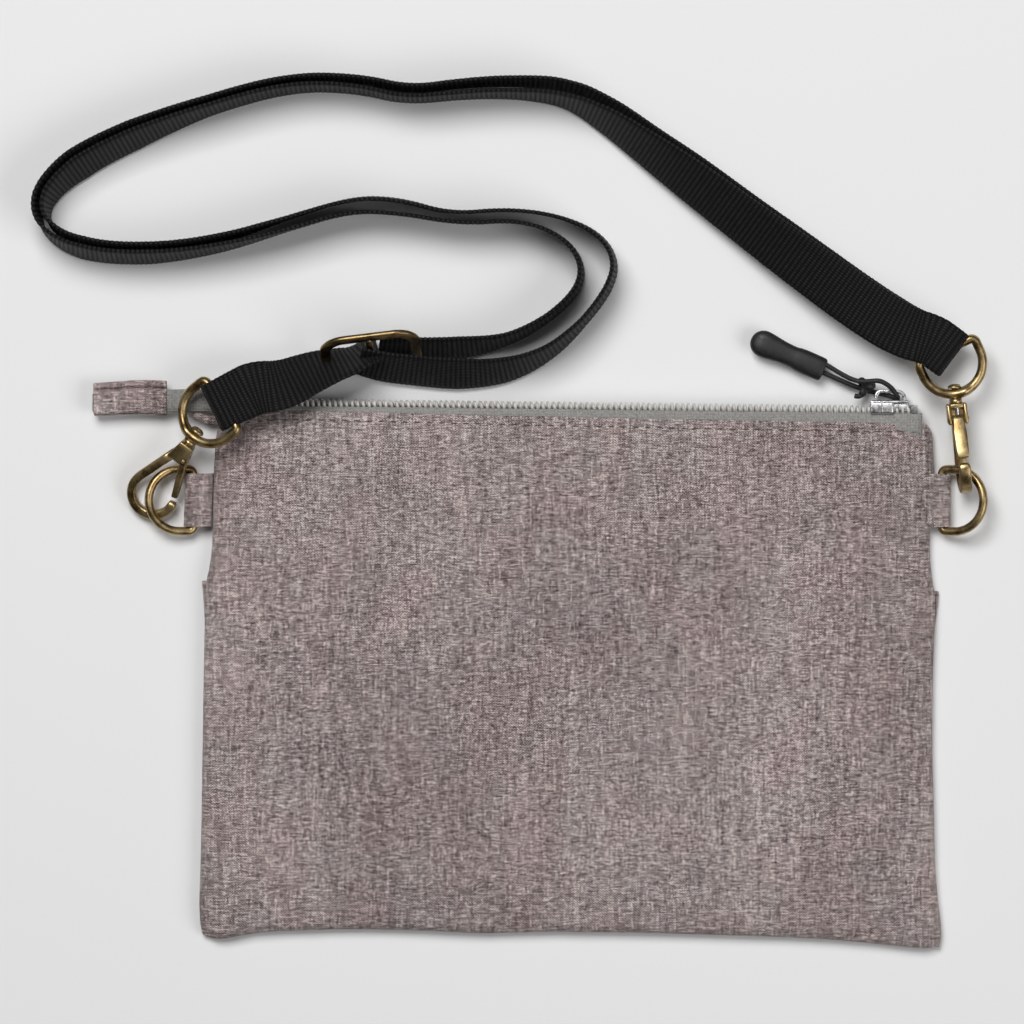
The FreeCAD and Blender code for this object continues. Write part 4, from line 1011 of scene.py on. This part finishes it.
# along the grip in mm from its flat end: half width, half height
GRIP_SHAPE = [(0.0, 2.3, 1.3), (0.15, 2.9, 1.7), (0.5, 3.25, 1.95), (1.4, 3.35, 2.05), (6.0, 3.35, 2.1),
              (8.2, 3.25, 2.1), (8.9, 2.95, 2.0), (10.5, 2.95, 2.0), (13.0, 3.1, 2.05), (15.5, 3.45, 2.15),
              (17.8, 3.8, 2.2), (19.2, 3.72, 2.15), (20.6, 3.1, 1.85), (21.5, 2.1, 1.35), (21.95, 1.0, 0.7),
              (22.05, 0.3, 0.2)]
grip_way, grip_side = Vector((-0.915, 0.4035, 0)), Vector((-0.4035, -0.915, 0))
grip_start = Vector((70.4, 83.6, 3.8))
verts = []
for along, wide, high in GRIP_SHAPE:
    for k in range(28):
        turn = 2 * math.pi * k / 28
        c, s = math.cos(turn), math.sin(turn)
        a = wide * math.copysign(abs(c) ** 0.75, c)
        b = high * math.copysign(abs(s) ** 0.75, s)
        verts.append((grip_start + grip_way * along + grip_side * a + Vector((0, 0, b))) * 0.001)
grip = mesh_piece("puller_rubber_grip", verts, tube_faces(len(GRIP_SHAPE), 28), rubber)
soften = grip.modifiers.new("soften", "SUBSURF")
soften.levels = soften.render_levels = 1
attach(grip, "puller")
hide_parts("puller_grip")

# ---------------------------------------------------------------------------------------------------------
# The zipper's left end: the tapes run past the pouch and are finished with a folded scrap of the cloth,
# its raw edges turned in, which serves as a pull tab when the zipper is opened.

stations = np.linspace(-113.5, -95.5, 24)
verts = []
for x in stations:
    y0 = 72.4 + 0.02 * (x + 95.5)
    for a, b in ((0.0, -0.55), (2.0, -0.7), (4.2, -0.6), (6.1, -0.35), (6.25, 0.0),
                 (6.1, 0.55), (4.2, 0.75 + 0.15 * math.sin(x)), (2.0, 0.8), (0.0, 0.6), (-0.15, 0.0)):
        verts.append(((x) * 0.001, (y0 + a) * 0.001, (4.1 + b) * 0.001))
tail = mesh_piece("zipper_tail_tape", verts, tube_faces(len(stations), 10), twill)
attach(tail, "root")

FOLD_LINE = [(71.6, 4.4), (71.4, 3.2), (72.2, 2.5), (75.0, 2.3), (78.5, 2.3), (80.0, 2.7), (80.5, 3.6),
             (80.1, 4.6), (79.3, 4.7), (79.1, 3.9), (78.6, 3.4), (78.0, 4.0), (77.9, 5.3), (77.3, 5.7),
             (75.0, 5.75), (72.6, 5.7), (71.8, 5.2), (72.1, 4.6), (73.5, 4.5), (76.0, 4.5)]
fold = smooth_line([(0, y, z) for y, z in FOLD_LINE], 8)[:, 1:]
gap = np.gradient(fold, axis=0)
gap /= np.linalg.norm(gap, axis=1)[:, None]
normal = np.stack([-gap[:, 1], gap[:, 0]], axis=1) * 0.30
ring = np.concatenate([fold + normal, (fold - normal)[::-1]])
stations = np.concatenate([[-132.0, -131.85, -131.5], np.linspace(-130.5, -112.8, 16), [-112.1, -111.8]])
verts = []
for n, x in enumerate(stations):
    share = (x + 132.0) / 20.2
    for y, z in ring:
        slope = 0.10 * (x + 121) * (0.6 if y > 77.5 else -0.15)
        end = 0.25 * math.sin(y * 1.7) if n in (0, 1, 2) else 0.0
        verts.append(((x + end) * 0.001, (y + 0.25 * math.sin(x / 4.0) + slope * 0.35) * 0.001,
                      (z + 0.18 * math.sin(x / 5.0 + y)) * 0.001))
tab = mesh_piece("zipper_tail_tab_cloth", verts, tube_faces(len(stations), len(ring)), cloth)
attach(tab, "root")
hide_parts("zipper_tail_tab")

# a tuck of the lining side of the cloth at the pouch's left corner, where the tapes leave it
tuck_line = smooth_line([(-105.2, 71.9, 3.4), (-102.0, 70.3, 3.8), (-99.0, 69.6, 3.6), (-96.0, 70.4, 3.2)])
tuck = rod_through(tuck_line, 1.15, 12, np.interp(np.linspace(0, 1, len(tuck_line)), [0, 0.15, 0.7, 1],
                                                  [0.35, 0.9, 1.1, 0.7]))
tuck_piece = mesh_piece("corner_tuck", *tuck, cloth)
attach(tuck_piece, "root")

# ---------------------------------------------------------------------------------------------------------
# The side tabs: a strip of the pouch's cloth folded round the bar of each side ring, its raw ends caught in
# the side seam.

TAB_FOLD = 1.98
for side, bar, out in (("left", (-104.5, 47.7, 2.8), -1), ("right", (103.1, 47.6, 3.0), 1)):
    wall = 0.42
    seam = -5.2
    centre = [(seam, 1.0), (-3.2, 1.75), (-1.2, TAB_FOLD)]
    centre += [(math.sin(math.radians(t)) * TAB_FOLD, math.cos(math.radians(t)) * TAB_FOLD)
               for t in range(0, 181, 18)]
    centre += [(-1.2, -1.9), (-3.2, -1.4), (seam, -0.7)]
    line = np.array(centre)
    step = np.gradient(line, axis=0)
    step /= np.linalg.norm(step, axis=1)[:, None]
    square = np.stack([-step[:, 1], step[:, 0]], axis=1)
    outline = np.concatenate([line + square * wall, (line - square * wall)[::-1]])
    stations = [-7.35, -7.3, -7.1, -6.6, -4, -1, 2, 5, 6.6, 7.1, 7.3, 7.35]
    verts = []
    for y in stations:
        tuck_in = max(0.0, abs(y) - 7.0) * 0.8
        for a, b in outline:
            skew = 0.035 * y * (1 if side == "left" else 0.2)
            verts.append(((bar[0] + out * (a - tuck_in * 0.3) + skew) * 0.001,
                          (bar[1] + y + 0.12 * math.sin(a * 2)) * 0.001,
                          max(0.05, bar[2] + b * (1 - tuck_in * 0.1)) * 0.001))
    tab_piece = mesh_piece(f"side_tab_{side}", verts, tube_faces(len(stations), len(outline)), cloth)
    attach(tab_piece, "root")
    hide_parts(f"loop_tab_{side}")

# ---------------------------------------------------------------------------------------------------------
# The D rings: round brass wire bent to a straight bar and a wide bow, its joint closed in the bar. The
# strap's two rings are flattened and drilled at the top of the bow for the swivel rivet.


def ring_path():
    """Half of the ring, mirrored: a straight bar, two tight corners and a half-round bow, in mm."""
    half = arc((3.9, 0), 8.6, 0, 90, 18)[:-1] + [(3.9, 8.6), (2.6, 8.6)] + arc((1.4, 7.2), 1.4, 90, 180, 5)
    half += [(0, 5.0), (0, 2.5)]
    return half + [(0, 0)] + [(x, -y) for x, y in half[:0:-1]]


def wire_ring(name, spot, radius, node_name, body, drilled=False):
    """A D ring of round wire at spot, wider at the top of its bow where it is drilled."""
    path = ring_path()
    swell = None
    if drilled:
        swell = []
        for x, y in path:
            near_top = math.exp(-(y / 2.0) ** 2) if x > 6 else 0.0
            swell.append((1 + 0.12 * near_top, 1 + 0.55 * near_top))
    ring = mesh_piece(name, *bent_bar(path, round_section(radius), spot, closed=True, swell=swell), brass)
    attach(ring, body)
    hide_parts(node_name)


def pointing(heading, tilt):
    """The direction of a heading in the flat, raised by a tilt, both in degrees."""
    heading, tilt = math.radians(heading), math.radians(tilt)
    return Vector((math.cos(heading) * math.cos(tilt), math.sin(heading) * math.cos(tilt), math.sin(tilt)))


SIDE_RING_WIRE, WEBBING_RING_WIRE = 1.2, 1.3
for side, bar, heading, tilt in (("left", (-0.1045, 0.0477, 0.0028), 180, 14),
                                 ("right", (0.1031, 0.0476, 0.0030), 0, 28)):
    lie = place_of(bar, pointing(heading, tilt), pointing(heading + 90, 0))
    wire_ring(f"side_ring_{side}", lie, SIDE_RING_WIRE, f"tab_ring_{side}", f"tab_ring_{side}")

# each hook: its swivel, its heading and tilt, where its back points, how far its strap ring is swung from
# it, that ring's bar and its side, and how deep its bar is in mm
HOOKS = {
    "left": ((-0.1040, 0.0652, 0.0096), (233.5, -17), (-0.8, 0.6, 0), -15, LEFT_BAR, (0.5, -0.75, 0.2), 2.6),
    "right": ((0.1062, 0.0770, 0.0096), (-83.4, -5), (0, 0, -1), 18, RIGHT_BAR, (0.9, 0.4, 0), 3.3),
}
for side, (swivel, (heading, tilt), back_side, swing, bar, across, deep) in HOOKS.items():
    swing = math.radians(swing)
    bow_way = pointing(heading, tilt) * math.cos(swing) + pointing(heading + 90, 0) * math.sin(swing)
    wire_ring(f"webbing_ring_{side}", place_of(bar, bow_way, across), WEBBING_RING_WIRE, f"strap_ring_{side}",
              "root", drilled=True)

# ---------------------------------------------------------------------------------------------------------
# The snap hooks: forged brass, with a sprung gate pinned between two cheeks, each turning on a rivet
# through its strap ring. The left one lies on its flat, the right one on its back with the gate up.

for side, (swivel, (heading, tilt), back_side, _, _, _, deep) in HOOKS.items():
    along = pointing(heading, tilt)
    spot = place_of(swivel, along, along.cross(Vector(back_side)).cross(along))
    bend = arc((20.3, 0), 6.1, 109.6, -104.0, 30)
    path = [(6.9, 1.7), (10.0, 2.8), (13.5, 4.05), (16.6, 5.15)] + bend
    swell = [(1.0, 1.0)] * (len(path) - 2) + [(0.96, 0.96), (0.72, 0.8)]
    bar = bent_bar(path, bar_section(2.5, deep, 0.62), spot, swell=swell)
    cheeks = []
    for face in (-1, 1):
        cheek, faces = soft_block((2.6, -3.0, 0), (8.3, 3.0, 1.0), 0.42)
        lift = face * (deep / 2 + 0.15) + (0 if face > 0 else -1.0)
        slim = [Vector((v.x, v.y * (0.62 + 0.38 * min(1.0, (v.x - 0.0026) / 0.0042)), v.z)) for v in cheek]
        cheeks.append(([spot @ (v + Vector((0, 0, lift * 0.001))) for v in slim], faces))
    web, web_faces = soft_block((2.7, -0.4, -deep / 2 - 0.2), (8.2, 2.9, deep / 2 + 0.2), 0.3)
    web = [Vector((v.x, v.y * (0.62 + 0.38 * min(1.0, (v.x - 0.0026) / 0.0042)), v.z)) for v in web]
    crown, crown_faces = soft_block((2.6, -1.8, -deep / 2 - 0.2), (3.9, 1.8, deep / 2 + 0.2), 0.3)
    stem = rod_through([tuple(spot @ Vector((x * 0.001, 0, 0)) * 1000) for x in (1.3, 2.0, 2.8)], 1.8, 20)
    block = [([spot @ v for v in web], web_faces), ([spot @ v for v in crown], crown_faces)]
    hook = mesh_piece(f"snap_hook_{side}", *gathered([bar] + cheeks + block + [stem]), brass)
    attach(hook, f"hook_{side}")
    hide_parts(f"hook_{side}")

    tip, pivot = Vector((17.4, -5.45)), Vector((6.9, -1.7))
    run = (tip - pivot).normalized()
    length = (tip - pivot).length
    verts = []
    profile = [(-1.15, 0.55), (-0.95, 0.85), (0.3, 1.0), (length * 0.35, 0.98), (length * 0.8, 0.9),
               (length - 0.25, 0.86), (length, 0.72)]
    wide = [deep * 0.86, deep * 0.92, deep * 0.95, deep * 1.16, deep * 1.1, deep * 1.0, deep * 0.9]
    for (a, half), across in zip(profile, wide):
        for p, q in bar_section(2 * half, across, 0.4):
            flat = pivot + run * a + Vector((-run.y, run.x)) * p
            verts.append(spot @ Vector((flat.x * 0.001, flat.y * 0.001, q * 0.001)))
    gate = mesh_piece(f"hook_gate_{side}", verts, tube_faces(len(profile), 16), brass)
    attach(gate, f"gate_{side}")
    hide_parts(f"gate_{side}")

    reach = deep / 2 + 1.3
    pin = rod_through([tuple(spot @ Vector((0.0069, -0.0017, z * 0.001)) * 1000)
                       for z in (-reach, 0, reach)], 0.55, 16)
    pin_piece = mesh_piece(f"gate_pivot_{side}", *pin, brass)
    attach(pin_piece, f"hook_{side}")
    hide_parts(f"gate_pin_{side}")

    head_shape = [(-2.75, 0.3), (-2.7, 0.9), (-2.5, 1.45), (-2.2, 1.8), (-1.85, 1.9), (-1.65, 1.8),
                  (-1.6, 0.8), (0.5, 0.8), (1.6, 0.8)]
    rivet = rod_through([tuple(spot @ Vector((x * 0.001, 0, 0)) * 1000) for x, r in head_shape], 1.0, 24,
                        [r for x, r in head_shape])
    rivet_piece = mesh_piece(f"swivel_pin_{side}", *rivet, brass)
    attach(rivet_piece, f"hook_{side}")
    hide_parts(f"swivel_rivet_{side}")
    nodes[f"gate_spring_{side}"].data.materials.clear()
    nodes[f"gate_spring_{side}"].data.materials.append(steel)
